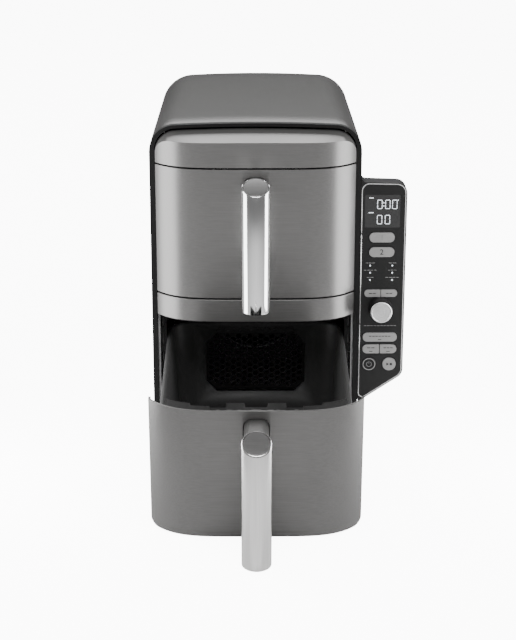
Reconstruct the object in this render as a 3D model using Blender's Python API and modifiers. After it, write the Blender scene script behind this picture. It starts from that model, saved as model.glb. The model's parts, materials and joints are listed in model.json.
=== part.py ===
"""Air fryer with two stacked drawers and a control panel at its right side.

Metres: X runs across, Y from front to back, Z up. Every shape is placed from the middle of the front
bezel's face at floor level, and one empty shifts the object so that its box stands centred on the origin.
The upper drawer is shut. The lower drawer is pulled out and hangs nose down from the glide at its back.
"""

import math

import bmesh
import bpy
from mathutils import Matrix, Vector

# Gaps
TOUCH = 0.0003            # between pieces that touch
PARTING = 0.002           # seen between two covers

# Cabinet
BODY_WIDTH = 0.2298
BODY_HEIGHT = 0.385
BODY_DEPTH = 0.3025
CORNER_RADIUS = 0.029
CROWN = 0.002             # rise of the top from its corners to its middle
SHEET = 0.0015            # shell and liner walls
BEZEL_WIDTH = 0.0058      # at the bezel's sides
BEZEL_TOP = 0.0036        # at its top
BEZEL_DEPTH = 0.008
TRIM_WIDTH = 0.0024
FOOT_HEIGHT = 0.0105
FOOT_RADIUS = 0.009
BASE_THICKNESS = 0.003

# Bowed covers
FRONT_HALF = 0.1086       # half the width of a drawer front
BOW = 0.029               # how far a front stands forward at its middle
BOW_POWER = 5             # a higher power flattens the middle and tightens the ends
BOW_STEPS = 24
COVER = 0.0025            # wall of a cover
FRONT_RETURN = 0.005      # a cover's ends reach this far behind the bezel face
FRONT_HEIGHT = 0.1431
LOWER_FRONT_BOTTOM = 0.0252
BAND_HEIGHT = 0.0253
DRAWER_PITCH = FRONT_HEIGHT + BAND_HEIGHT + 2 * PARTING
HOOD_CORNER = 0.0226
HOOD_EDGE_DROP = 0.0072   # the hood's top falls by this from the bezel to its front edge

# Drawer mechanism
PIVOT_Y = 0.241           # glide axis behind the bezel face when the drawer is shut
PIVOT_RISE = 0.0038       # glide axis above the bottom of the drawer front
GLIDE_RADIUS = 0.0042
GLIDE_LENGTH = 0.150
LOWER_OUT = 0.18775       # how far the lower drawer is pulled out
LOWER_TIP = math.radians(5.0)
LOWER_CORNER = 0.008      # rounds the bottom corners of the lower front and of the opening behind it

# Basket, from the glide axis
BASKET_FLOOR = GLIDE_RADIUS + TOUCH
BASKET_RIM = 0.113
BASKET_HALF = 0.095
BASKET_FRONT_GAP = 0.0111  # from the bezel face to the basket's front wall
BASKET_BACK = 0.005       # behind the glide axis
BASKET_DRAFT = 0.006
BASKET_LIP = 0.003
BASKET_CORNER = 0.022
BASKET_WALL = 0.0012
HEX_RADIUS = 0.0070
HEX_COLUMNS = 7
HEX_ROWS = 4
HEX_BOTTOM = 0.050

# Drawer front assembly
BACKING_DROP = 0.008      # top of the backing under the top of the front
BACKING_BACK = 0.0078
BACKING_WALL = 0.003
HANDLE_RADIUS = 0.0149
HANDLE_REACH = 0.0608     # bar axis in front of the middle of the front
HANDLE_TOP_DROP = 0.0035  # middle of the slanted top under the top of the front
HANDLE_FOOT_DROP = 0.138
HANDLE_SLANT = math.radians(24)
CAP_THICKNESS = 0.0014
STEM_WIDTH = 0.025
STEM_HEIGHT = 0.026
STEM_TOP_DROP = 0.009
STEM_FOOT_RISE = 0.016

# Cavities
LINER_HALF = 0.103
LINER_BACK = 0.256
LINER_FLOOR_DROP = GLIDE_RADIUS + TOUCH
LINER_CEILING = 0.139     # above the glide axis
GRILLE_THICKNESS = 0.002
GRILLE_HOLE = 0.009
HEATER_RADIUS = 0.058
HEATER_TUBE = 0.0032
FAN_RADIUS = 0.046
FAN_BLADES = 9
FAN_DEPTH = 0.009
SHAFT_RADIUS = 0.003
MOTOR_RADIUS = 0.024
MOTOR_LENGTH = 0.0200

# Control panel
PANEL_LEFT = BODY_WIDTH / 2 + TOUCH
PANEL_RIGHT = 0.1651
PANEL_TOP = 0.320
PANEL_BOTTOM = 0.064
PANEL_MIDDLE = 0.1385
PANEL_FACE = 0.003
PANEL_DEPTH = 0.022
PANEL_WALL = 0.0025
BUTTON_PROUD = 0.0008
BUTTON_DEPTH = 0.0038
BUTTON_CLEARANCE = 0.00035
DIAL_RADIUS = 0.0122
DIAL_LENGTH = 0.0150
DIAL_Z = 0.1759
DISPLAY_WIDTH = 0.039
DISPLAY_HEIGHT = 0.037
DISPLAY_Z = 0.2875
BOARD_THICKNESS = 0.0016
BOARD_LEG = 0.006
CUT_MARGIN = 0.01         # how far a cutter reaches past the solid it cuts
SKIN = 0.0001             # a trimming outline stays this far inside a face that it would share

# Each button: name, middle across and up, width, height, corner radius at its left and at its right
BUTTONS = (
    ("zone_one_button", PANEL_MIDDLE, 0.2580, 0.0275, 0.0110, 0.0054, 0.0054),
    ("zone_two_button", PANEL_MIDDLE, 0.2413, 0.0275, 0.0110, 0.0054, 0.0054),
    ("temperature_button", 0.1293, 0.1940, 0.0178, 0.0084, 0.0041, 0.0008),
    ("time_button", 0.1477, 0.1940, 0.0178, 0.0084, 0.0041, 0.0008),
    ("stack_button", PANEL_MIDDLE, 0.1426, 0.0380, 0.0104, 0.0051, 0.0051),
    ("sync_button", 0.1288, 0.1287, 0.0184, 0.0104, 0.0051, 0.0008),
    ("match_button", 0.1482, 0.1287, 0.0184, 0.0104, 0.0051, 0.0008),
    ("power_button", 0.1271, 0.1107, 0.0148, 0.0148, 0.0073, 0.0073),
    ("start_button", 0.1497, 0.1107, 0.0148, 0.0148, 0.0073, 0.0073),
)


def clear_scene():
    for obj in list(bpy.data.objects):
        bpy.data.objects.remove(obj)


def new_collection(name):
    made = bpy.data.collections.new(name)
    bpy.context.scene.collection.children.link(made)
    return made


clear_scene()
PARTS = new_collection("air_fryer")
CUTTERS = new_collection("cutters")
MATERIALS = {}
FINISHES = {
    "shell_grey": ((0.150, 0.148, 0.142), 0.42, 0.6),
    "cover_grey": ((0.215, 0.213, 0.208), 0.40, 0.6),
    "black_plastic": ((0.018, 0.018, 0.019), 0.40, 0.0),
    "black_gloss": ((0.010, 0.010, 0.011), 0.15, 0.0),
    "dark_coating": ((0.030, 0.030, 0.031), 0.45, 0.2),
    "brushed_steel": ((0.620, 0.615, 0.600), 0.28, 1.0),
    "cap_grey": ((0.200, 0.200, 0.198), 0.45, 0.3),
    "trim_grey": ((0.420, 0.420, 0.410), 0.35, 0.5),
    "button_grey": ((0.480, 0.475, 0.465), 0.45, 0.2),
    "steel": ((0.450, 0.450, 0.440), 0.35, 1.0),
    "board_green": ((0.030, 0.110, 0.050), 0.55, 0.0),
    "rubber": ((0.020, 0.020, 0.020), 0.80, 0.0),
}


def material(name):
    if name not in MATERIALS:
        made = bpy.data.materials.new(name)
        made.use_nodes = True
        colour, roughness, metallic = FINISHES[name]
        shader = made.node_tree.nodes["Principled BSDF"]
        shader.inputs["Base Color"].default_value = (*colour, 1.0)
        shader.inputs["Roughness"].default_value = roughness
        shader.inputs["Metallic"].default_value = metallic
        MATERIALS[name] = made
    return MATERIALS[name]


def empty(name, location, parent=None):
    made = bpy.data.objects.new(name, None)
    made.location = location
    made.parent = parent
    PARTS.objects.link(made)
    return made


def as_object(name, mesh, location, parent, finish, smooth=None):
    """A mesh as a piece of the fryer or, with no finish, as a cutter."""
    made = bpy.data.objects.new(name, mesh)
    made.location = location
    made.parent = parent
    if finish is None:
        CUTTERS.objects.link(made)
        made.hide_render = True
        made.display_type = "WIRE"
        return made
    PARTS.objects.link(made)
    mesh.materials.append(material(finish))
    if smooth:
        mesh.shade_smooth()
        mesh.set_sharp_from_angle(angle=math.radians(smooth))
    return made


def cut(piece, cutter, operation="DIFFERENCE"):
    modifier = piece.modifiers.new(cutter.name, "BOOLEAN")
    modifier.object = cutter
    modifier.operation = operation
    modifier.solver = "EXACT"
    return piece


def box(name, low, high, parent, finish):
    """A box between two corners, with its origin at its middle."""
    low, high = Vector(low), Vector(high)
    shape = bmesh.new()
    bmesh.ops.create_cube(shape, size=1)
    bmesh.ops.scale(shape, vec=high - low, verts=shape.verts)
    mesh = bpy.data.meshes.new(name)
    shape.to_mesh(mesh)
    shape.free()
    return as_object(name, mesh, (low + high) / 2, parent, finish)


def cylinder(name, radius, length, middle, axis, parent, finish, sides=32):
    shape = bmesh.new()
    bmesh.ops.create_cone(shape, cap_ends=True, segments=sides, radius1=radius, radius2=radius, depth=length)
    if axis != "Z":
        turn = Matrix.Rotation(math.pi / 2, 3, "Y" if axis == "X" else "X")
        bmesh.ops.rotate(shape, matrix=turn, verts=shape.verts)
    mesh = bpy.data.meshes.new(name)
    shape.to_mesh(mesh)
    shape.free()
    return as_object(name, mesh, middle, parent, finish, smooth=40)


def prism(name, outlines, start, depth, axis, parent, finish, smooth=None):
    """Flat outlines pushed along an axis: (x, z) outlines along Y, or (x, y) outlines along Z."""
    curve = bpy.data.curves.new(name, "CURVE")
    curve.dimensions = "2D"
    curve.fill_mode = "BOTH"
    curve.extrude = depth / 2
    for points in outlines:
        spline = curve.splines.new("POLY")
        spline.points.add(len(points) - 1)
        for point, (across, along) in zip(spline.points, points):
            point.co = (across, along, 0, 1)
        spline.use_cyclic_u = True
    flat = bpy.data.objects.new(name + "_outline", curve)
    CUTTERS.objects.link(flat)
    graph = bpy.context.evaluated_depsgraph_get()
    mesh = bpy.data.meshes.new_from_object(flat.evaluated_get(graph))
    bpy.data.objects.remove(flat)
    mesh.name = name
    shape = bmesh.new()
    shape.from_mesh(mesh)
    bmesh.ops.remove_doubles(shape, verts=shape.verts, dist=0.000001)
    bmesh.ops.recalc_face_normals(shape, faces=shape.faces)
    shape.to_mesh(mesh)
    shape.free()
    middle = start + depth / 2
    location = (0, middle, 0) if axis == "Y" else (0, 0, middle)
    made = as_object(name, mesh, location, parent, finish, smooth)
    if axis == "Y":
        made.rotation_euler = (math.pi / 2, 0, 0)
    return made


def turned(name, profile, middle, turn, parent, finish, steps=32):
    """A profile of (radius, height), from its top down, turned about its own Z, then rotated by turn."""
    mesh = bpy.data.meshes.new(name)
    points = [(radius, 0, height) for radius, height in profile]
    mesh.from_pydata(points, [(i, i + 1) for i in range(len(points) - 1)], [])
    made = as_object(name, mesh, middle, parent, finish)
    made.rotation_euler = turn
    screw = made.modifiers.new("turn", "SCREW")
    screw.steps = screw.render_steps = steps
    screw.use_merge_vertices = True
    screw.merge_threshold = 0.00001
    return made


def rounded_outline(corners, steps=5):
    """Points round a polygon whose corners are (across, up, radius)."""
    points = []
    for i, (across, up, radius) in enumerate(corners):
        corner = Vector((across, up))
        if not radius:
            points.append(tuple(corner))
            continue
        before = (Vector(corners[i - 1][:2]) - corner).normalized()
        after = (Vector(corners[(i + 1) % len(corners)][:2]) - corner).normalized()
        half = math.acos(max(-1, min(1, before.dot(after)))) / 2
        centre = corner + (before + after).normalized() * radius / math.sin(half)
        first = corner + before * radius / math.tan(half) - centre
        last = corner + after * radius / math.tan(half) - centre
        sweep = math.atan2(first.x * last.y - first.y * last.x, first.dot(last))
        start = math.atan2(first.y, first.x)
        for step in range(steps + 1):
            angle = start + sweep * step / steps
            points.append((centre.x + radius * math.cos(angle), centre.y + radius * math.sin(angle)))
    return points


def rectangle(left, right, bottom, top, radius, steps=5):
    corners = [(left, bottom, radius), (right, bottom, radius), (right, top, radius), (left, top, radius)]
    return rounded_outline(corners, steps)


def hexagon(across, up, radius):
    angles = [math.pi / 3 * i for i in range(6)]
    return [(across + radius * math.cos(a), up + radius * math.sin(a)) for a in angles]


def hexagon_field(columns, rows, radius, pitch, bottom):
    """Hexagons in staggered columns about X = 0, upwards from bottom."""
    found = []
    for column in range(columns):
        across = (column - (columns - 1) / 2) * pitch * math.sqrt(3) / 2
        for row in range(rows):
            found.append(hexagon(across, bottom + pitch * (row + 0.5 * (column % 2)), radius))
    return found


# ---------------------------------------------------------------- cabinet

def body_profile(inset, bottom, foot_radius=0, rise=0):
    """Front view of the body from its lower left corner over the crowned top, raised by rise, to its lower right."""
    half = BODY_WIDTH / 2 - inset
    radius = CORNER_RADIUS - inset
    shoulder = BODY_HEIGHT - CROWN - CORNER_RADIUS + rise
    centre = BODY_WIDTH / 2 - CORNER_RADIUS
    left = [(-half, bottom)]
    if foot_radius:
        left = []
        for step in range(6):
            turn = math.pi * (1.5 - step / 10)
            across = foot_radius * (1 + math.cos(turn)) - half
            left.append((across, bottom + foot_radius * (1 + math.sin(turn))))
    for step in range(9):
        angle = math.pi - math.pi / 2 * step / 8
        left.append((-centre + radius * math.cos(angle), shoulder + radius * math.sin(angle)))
    top = []
    for step in range(1, 8):
        across = -centre + 2 * centre * step / 8
        top.append((across, shoulder + radius + CROWN * (1 - (across / centre) ** 2)))
    right = [(-across, up) for across, up in reversed(left)]
    return left + top + right


def outer_shell(parent):
    """The open wall over both sides and the top, thickened inwards."""
    front = BEZEL_DEPTH + TOUCH
    profile = body_profile(0, FOOT_HEIGHT)
    shape = bmesh.new()
    row = [shape.verts.new((across, front, up)) for across, up in profile]
    edges = [shape.edges.new(pair) for pair in zip(row, row[1:])]
    pushed = bmesh.ops.extrude_edge_only(shape, edges=edges)["geom"]
    moved = [item for item in pushed if isinstance(item, bmesh.types.BMVert)]
    bmesh.ops.translate(shape, vec=(0, BODY_DEPTH - front, 0), verts=moved)
    bmesh.ops.recalc_face_normals(shape, faces=shape.faces)
    mesh = bpy.data.meshes.new("outer_shell")
    shape.to_mesh(mesh)
    shape.free()
    shell = as_object("outer_shell", mesh, (0, 0, 0), parent, "shell_grey", smooth=30)
    outward = max(mesh.polygons, key=lambda face: face.center.z).normal.z > 0
    wall = shell.modifiers.new("wall", "SOLIDIFY")
    wall.thickness = SHEET
    wall.offset = -1 if outward else 1
    wall.use_even_offset = True
    return shell


def bezel_bar_top():
    return LOWER_FRONT_BOTTOM - PARTING


def front_bezel(parent):
    outside = body_profile(0, FOOT_HEIGHT)
    rise = BEZEL_WIDTH - BEZEL_TOP
    inside = body_profile(BEZEL_WIDTH, bezel_bar_top(), LOWER_CORNER + PARTING, rise)
    return prism("front_bezel", [outside, inside], 0, BEZEL_DEPTH, "Y", parent, "black_plastic", 30)


def rear_cover(parent):
    """A plate inside the back of the shell, with two rows of vent slots."""
    outline = body_profile(SHEET + TOUCH, FOOT_HEIGHT)
    slots = []
    for level in (0.150, 0.320):
        for column in range(-3, 4):
            middle = column * 0.020
            slots.append(rectangle(middle - 0.004, middle + 0.004, level - 0.016, level + 0.016, 0.0035, 1))
    start = BODY_DEPTH - 0.0065
    return prism("rear_cover", [outline, *slots], start, 0.003, "Y", parent, "black_plastic")


def base_plate(parent):
    half = BODY_WIDTH / 2 - SHEET - TOUCH
    back = BODY_DEPTH - 0.0068
    low = (-half, BEZEL_DEPTH + TOUCH, FOOT_HEIGHT)
    high = (half, back, FOOT_HEIGHT + BASE_THICKNESS)
    return box("base_plate", low, high, parent, "black_plastic")


def feet(parent):
    for side, across in (("left", -0.090), ("right", 0.090)):
        for end, along in (("front", 0.030), ("rear", 0.270)):
            name = f"foot_{end}_{side}"
            height = FOOT_HEIGHT - TOUCH
            cylinder(name, FOOT_RADIUS, height, (across, along, height / 2), "Z", parent, "rubber", 24)


def bow_curve(inset):
    """Points along a cover's front, left to right, drawn inwards by inset."""
    half = FRONT_HALF - inset
    depth = BOW - inset
    spread = [math.sin(math.pi / 2 * (2 * i / BOW_STEPS - 1)) for i in range(BOW_STEPS + 1)]
    return [(half * t, -depth * (1 - abs(t) ** BOW_POWER)) for t in spread]


def bow_plan(inset, back):
    """Plan of a solid with a bowed front and a flat back."""
    curve = bow_curve(inset)
    return [(curve[0][0], back), *curve, (curve[-1][0], back)]


def hollow_cover(name, bottom, top, wall, parent):
    """A bowed cover, open at its back."""
    plan = bow_plan(0, FRONT_RETURN)
    solid = prism(name, [plan], bottom, top - bottom, "Z", parent, "cover_grey", 30)
    inner = bow_plan(wall, FRONT_RETURN + CUT_MARGIN)
    pocket = prism(name + "_pocket", [inner], bottom + wall, top - bottom - 2 * wall, "Z", parent, None)
    return cut(solid, pocket)


def middle_band(parent):
    bottom = LOWER_FRONT_BOTTOM + FRONT_HEIGHT + PARTING
    return hollow_cover("middle_band", bottom, bottom + BAND_HEIGHT, COVER, parent)


def hood_bottom():
    return LOWER_FRONT_BOTTOM + DRAWER_PITCH + FRONT_HEIGHT + PARTING


def hood_fascia(parent):
    """A bowed cover with rounded top corners and a top that slopes down to its front edge."""
    bottom = hood_bottom()
    top = BODY_HEIGHT - BEZEL_TOP - TOUCH
    plan = bow_plan(0, BEZEL_DEPTH)
    solid = prism("hood_fascia", [plan], bottom, top - bottom, "Z", parent, "cover_grey", 30)
    half = FRONT_HALF - SKIN
    corners = [
        (-half, bottom - CUT_MARGIN, 0),
        (half, bottom - CUT_MARGIN, 0),
        (half, top - CROWN, HOOD_CORNER),
        (-half, top - CROWN, HOOD_CORNER),
    ]
    sides = prism("hood_sides", [rounded_outline(corners, 8)], -0.05, 0.08, "Y", parent, None)
    cut(solid, sides, "INTERSECT")
    slope = math.atan2(HOOD_EDGE_DROP, BOW)
    above = box("hood_slope", (-0.15, -0.10, 0), (0.15, 0.03, 0.05), parent, None)
    above.data.transform(Matrix.Translation(above.location))
    above.location = (0, 0, top - CROWN)
    above.rotation_euler = (slope, 0, 0)
    cut(solid, above)
    inner = bow_plan(COVER, 2 * BEZEL_DEPTH)
    pocket = prism("hood_pocket", [inner], bottom + COVER, 0.018, "Z", parent, None)
    return cut(solid, pocket)


def side_trims(parent):
    """A strip inside each side of the bezel, behind the ends of the drawer fronts."""
    front, back = FRONT_RETURN + TOUCH, BEZEL_DEPTH - TOUCH
    outer = BODY_WIDTH / 2 - BEZEL_WIDTH - TOUCH
    inner = outer - TRIM_WIDTH
    bottom, top = bezel_bar_top() + LOWER_CORNER + PARTING + TOUCH, hood_bottom() - TOUCH
    for name, side in (("side_trim_left", -1), ("side_trim_right", 1)):
        low, high = sorted((side * inner, side * outer))
        box(name, (low, front, bottom), (high, back, top), parent, "trim_grey")


def cavity(prefix, axis_z, parent):
    """Liner, grille, heater, fan and motor behind one drawer, whose glide axis is at height axis_z."""
    floor = axis_z - LINER_FLOOR_DROP
    ceiling = axis_z + LINER_CEILING
    outside = rectangle(-LINER_HALF - SHEET, LINER_HALF + SHEET, floor - SHEET, ceiling + SHEET, 0.006, 3)
    inside = rectangle(-LINER_HALF, LINER_HALF, floor, ceiling, 0.005, 3)
    front = BEZEL_DEPTH + TOUCH
    prism(prefix + "_cavity_liner", [outside, inside], front, LINER_BACK - front, "Y", parent, "dark_coating")

    middle = (floor + ceiling) / 2
    pitch = 2.4 * GRILLE_HOLE
    holes = hexagon_field(5, 4, GRILLE_HOLE, pitch, middle - 1.75 * pitch)
    grille = [outside, *holes]
    prism(prefix + "_rear_grille", grille, LINER_BACK + TOUCH, GRILLE_THICKNESS, "Y", parent, "steel")

    grille_back = LINER_BACK + TOUCH + GRILLE_THICKNESS
    heater(prefix + "_heater", (0, grille_back + TOUCH + HEATER_TUBE, middle), parent)

    cover_front = BODY_DEPTH - 0.0065
    motor_middle = cover_front - TOUCH - MOTOR_LENGTH / 2
    centre = (0, motor_middle, middle)
    cylinder(prefix + "_fan_motor", MOTOR_RADIUS, MOTOR_LENGTH, centre, "Y", parent, "steel")
    fan_front = grille_back + 0.004
    shaft_end = motor_middle - MOTOR_LENGTH / 2 - TOUCH
    fan(prefix + "_fan", fan_front, shaft_end, middle, parent)


def heater(name, middle, parent):
    """A round tube element."""
    curve = bpy.data.curves.new(name, "CURVE")
    curve.dimensions = "3D"
    curve.bevel_depth = HEATER_TUBE
    curve.bevel_resolution = 2
    spline = curve.splines.new("POLY")
    count = 28
    spline.points.add(count - 1)
    for i, point in enumerate(spline.points):
        angle = 2 * math.pi * i / count
        point.co = (HEATER_RADIUS * math.cos(angle), 0, HEATER_RADIUS * math.sin(angle), 1)
    spline.use_cyclic_u = True
    curve.materials.append(material("steel"))
    made = bpy.data.objects.new(name, curve)
    made.location = middle
    made.parent = parent
    PARTS.objects.link(made)
    return made


def fan(name, front, shaft_end, up, parent):
    """A flat paddle wheel on a shaft, with its origin on the shaft's axis."""
    blade = 2 * math.pi / FAN_BLADES
    points = []
    for i in range(FAN_BLADES):
        for angle, radius in ((0.00, 0.012), (0.22, FAN_RADIUS), (0.45, FAN_RADIUS), (0.35, 0.013)):
            turn = blade * (i + angle)
            points.append((radius * math.cos(turn), radius * math.sin(turn)))
    hub = empty(name + "_axis", (0, front, up), parent)
    wheel = prism(name, [points], 0, FAN_DEPTH, "Y", hub, "steel")
    length = shaft_end - front - FAN_DEPTH / 2
    middle = (0, FAN_DEPTH / 2 + length / 2, 0)
    shaft = cylinder(name + "_shaft", SHAFT_RADIUS, length, middle, "Y", hub, None, 16)
    return cut(wheel, shaft, "UNION")


def raised_board(name, low, high, thin, board_at_high, parent):
    """A circuit board along one side of a box, on four corner legs that reach the other side."""
    low, high = Vector(low), Vector(high)
    board = box(name, low, high, parent, "board_green")
    for across in sorted({0, 1, 2} - {thin}):
        start = low - Vector((CUT_MARGIN,) * 3)
        end = high + Vector((CUT_MARGIN,) * 3)
        start[across], end[across] = low[across] + BOARD_LEG, high[across] - BOARD_LEG
        if board_at_high:
            end[thin] = high[thin] - BOARD_THICKNESS
        else:
            start[thin] = low[thin] + BOARD_THICKNESS
        cut(board, box(f"{name}_gap_{across}", start, end, parent, None))
    return board


def boards(parent):
    """The power board stands over the upper cavity, and the control board stands in the panel."""
    top = LOWER_FRONT_BOTTOM + DRAWER_PITCH + PIVOT_RISE + LINER_CEILING + SHEET
    raised_board("power_board", (-0.075, 0.060, top + TOUCH), (0.075, 0.170, top + 0.012), 2, True, parent)
    back = PANEL_DEPTH - PANEL_WALL - TOUCH
    low = (PANEL_MIDDLE - 0.018, 0.0080, 0.100)
    high = (PANEL_MIDDLE + 0.018, back, 0.310)
    raised_board("control_board", low, high, 1, False, parent)


def cord_gland(parent):
    start = BODY_DEPTH - 0.0035 + TOUCH
    return cylinder("cord_gland", 0.008, 0.012, (-0.070, start + 0.006, 0.040), "Y", parent, "rubber", 20)


# ---------------------------------------------------------------- control panel

def panel_outline(inset=0):
    """The panel's front view: a fillet up to the body, a round top corner and a slanted foot."""
    left, right = PANEL_LEFT + inset, PANEL_RIGHT - inset
    fillet = 0.0055
    join = [(left, PANEL_TOP + fillet + 0.0015 - inset)]
    for step in range(1, 5):
        angle = math.pi + math.pi / 2 * step / 4
        across = left + fillet + fillet * math.cos(angle)
        join.append((across, PANEL_TOP + fillet - inset + fillet * math.sin(angle)))
    corners = [
        (right, PANEL_TOP - 0.0015 - inset, 0.0115 - inset),
        (right, 0.0985 + inset / 2, 0.012 - inset),
        (left, PANEL_BOTTOM + 1.3 * inset, 0.001),
    ]
    start = (left + fillet, PANEL_TOP - inset, 0)
    rest = rounded_outline([start, *corners], 6)
    return (join + rest[1:])[::-1]


def button_outline(button, grow=0):
    name, across, up, width, height, left_radius, right_radius = button
    half_w, half_h = width / 2 + grow, height / 2 + grow
    mirrored = name in ("time_button", "match_button")
    if mirrored:
        left_radius, right_radius = right_radius, left_radius
    corners = [
        (across - half_w, up - half_h, left_radius),
        (across + half_w, up - half_h, right_radius),
        (across + half_w, up + half_h, right_radius),
        (across - half_w, up + half_h, left_radius),
    ]
    return rounded_outline(corners, 4)


def display_outline(grow=0):
    half_w, half_h = DISPLAY_WIDTH / 2 + grow, DISPLAY_HEIGHT / 2 + grow
    left, right = PANEL_MIDDLE - half_w, PANEL_MIDDLE + half_w
    return rectangle(left, right, DISPLAY_Z - half_h, DISPLAY_Z + half_h, 0.002, 3)


def ring(across, up, radius, count=20):
    angles = [2 * math.pi * i / count for i in range(count)]
    return [(across + radius * math.cos(a), up + radius * math.sin(a)) for a in angles]


def panel(parent):
    holes = [button_outline(button, BUTTON_CLEARANCE) for button in BUTTONS]
    holes.append(display_outline(TOUCH))
    holes.append(ring(PANEL_MIDDLE, DIAL_Z, 0.004))
    prism("panel_face", [panel_outline(), *holes], 0, PANEL_FACE, "Y", parent, "black_plastic")
    start = PANEL_FACE + TOUCH
    depth = PANEL_DEPTH - start
    housing = prism("panel_housing", [panel_outline()], start, depth, "Y", parent, "black_plastic")
    depth = PANEL_DEPTH - PANEL_WALL
    pocket = prism("panel_pocket", [panel_outline(PANEL_WALL)], 0, depth, "Y", parent, None)
    cut(housing, pocket)
    prism("display_window", [display_outline()], 0.0003, 0.0024, "Y", parent, "black_gloss")
    for button in BUTTONS:
        prism(button[0], [button_outline(button)], -BUTTON_PROUD, BUTTON_DEPTH, "Y", parent, "button_grey")
    encoder_front = PANEL_FACE + 2 * TOUCH
    half = 0.006
    low = (PANEL_MIDDLE - half, encoder_front, DIAL_Z - half)
    high = (PANEL_MIDDLE + half, 0.0080 - TOUCH, DIAL_Z + half)
    box("dial_encoder", low, high, parent, "steel")
    dial_knob(parent)


def dial_knob(parent):
    """A flared knob on a short shaft. Its profile starts at the face and ends at the shaft's tip."""
    face = DIAL_LENGTH
    profile = [
        (0, face),
        (DIAL_RADIUS - 0.0012, face),
        (DIAL_RADIUS - 0.0002, face - 0.0010),
        (DIAL_RADIUS, 0.0030),
        (DIAL_RADIUS + 0.0012, 0.0012),
        (DIAL_RADIUS + 0.0012, 0.0004),
        (0.003, 0.0004),
        (0.003, -PANEL_FACE),
        (0, -PANEL_FACE),
    ]
    place, turn = (PANEL_MIDDLE, 0, DIAL_Z), (math.pi / 2, 0, 0)
    return turned("dial_knob", profile, place, turn, parent, "brushed_steel")


# ---------------------------------------------------------------- drawers

def drawer(prefix, glide, corner=0):
    """One drawer, placed from its glide axis. The glide itself stays level when the drawer tips."""
    tip = empty(prefix + "_drawer_tip", (0, 0, 0), glide)
    here = empty(prefix + "_drawer_place", (0, -PIVOT_Y, -PIVOT_RISE), tip)
    cylinder(prefix + "_rear_glide", GLIDE_RADIUS, GLIDE_LENGTH, (0, 0, 0), "X", glide, "rubber", 16)
    drawer_front(prefix, corner, here)
    drawer_backing(prefix, corner, here)
    drawer_basket(prefix, tip)
    handle(prefix, here)
    crisper_plate(prefix, tip)
    return tip


def round_feet(piece, inset, corner, here):
    """Rounds the two bottom corners of a drawer front, seen from the front, or of what lies inset in it."""
    if not corner:
        return piece
    half, bottom, top = FRONT_HALF - inset - SKIN, inset + SKIN, FRONT_HEIGHT + CUT_MARGIN
    radius = corner - inset
    corners = [(-half, bottom, radius), (half, bottom, radius), (half, top, 0), (-half, top, 0)]
    outline, reach = rounded_outline(corners), BOW + 3 * CUT_MARGIN
    keep = prism(piece.name + "_outline", [outline], -BOW - CUT_MARGIN, reach, "Y", here, None)
    return cut(piece, keep, "INTERSECT")


def drawer_front(prefix, corner, here):
    """A bowed sheet with short straight returns at its ends."""
    outer, inner = bow_curve(0), bow_curve(COVER)
    ends = [(outer[-1][0], FRONT_RETURN), (inner[-1][0], FRONT_RETURN)]
    plan = [(outer[0][0], FRONT_RETURN), *outer, *ends, *inner[::-1], (inner[0][0], FRONT_RETURN)]
    front = prism(prefix + "_drawer_front", [plan], 0, FRONT_HEIGHT, "Z", here, "cover_grey", 30)
    return round_feet(front, 0, corner, here)


def drawer_backing(prefix, corner, here):
    """Black moulding that fills the bow of the front, open underneath."""
    inset = COVER + TOUCH
    bottom, top = 0.0015, FRONT_HEIGHT - BACKING_DROP
    plan = bow_plan(inset, BACKING_BACK)
    name = prefix + "_drawer_backing"
    backing = prism(name, [plan], bottom, top - bottom, "Z", here, "black_plastic", 30)
    round_feet(backing, inset, corner, here)
    hollow = bow_plan(inset + BACKING_WALL, BACKING_BACK - BACKING_WALL)
    reach = top - bottom - BACKING_WALL + CUT_MARGIN
    return cut(backing, prism(name + "_pocket", [hollow], bottom - CUT_MARGIN, reach, "Z", here, None))


def tub_loop(shape, half, front, back, radius, up):
    plan = rectangle(-half, half, front, back, radius, 4)
    verts = [shape.verts.new((across, along, up)) for across, along in plan]
    return [shape.edges.new((verts[i - 1], verts[i])) for i in range(len(verts))], verts


def drawer_basket(prefix, tip):
    """A drafted tub with a turned-out lip and hexagonal holes in its rear wall."""
    name = prefix + "_basket"
    front, back = BASKET_FRONT_GAP - PIVOT_Y, BASKET_BACK
    shape = bmesh.new()
    draft, lip = BASKET_DRAFT, BASKET_LIP
    half, radius, floor = BASKET_HALF, BASKET_CORNER, BASKET_FLOOR
    levels = (
        (half - draft - 0.006, front + draft, back - draft - 0.006, radius - 0.008, floor),
        (half - draft, front + draft - 0.002, back - draft, radius - 0.004, floor + 0.005),
        (half, front, back, radius, BASKET_RIM),
        (half + lip, front - lip, back + lip, radius + lip, BASKET_RIM),
    )
    loops = [tub_loop(shape, *level) for level in levels]
    shape.faces.new(loops[0][1])
    for below, above in zip(loops, loops[1:]):
        bmesh.ops.bridge_loops(shape, edges=below[0] + above[0])
    bmesh.ops.recalc_face_normals(shape, faces=shape.faces)
    mesh = bpy.data.meshes.new(name)
    shape.to_mesh(mesh)
    shape.free()
    basket = as_object(name, mesh, (0, 0, 0), tip, "dark_coating", smooth=30)
    floor = min(mesh.polygons, key=lambda face: face.center.z)
    wall = basket.modifiers.new("wall", "SOLIDIFY")
    wall.thickness = BASKET_WALL
    wall.offset = -1 if floor.normal.z < 0 else 1
    wall.use_even_offset = True
    pitch = 2.25 * HEX_RADIUS
    field = hexagon_field(HEX_COLUMNS, HEX_ROWS, HEX_RADIUS, pitch, HEX_BOTTOM)
    holes = prism(name + "_holes", field, back - 0.02, 0.04, "Y", tip, None)
    return cut(basket, holes)


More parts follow.
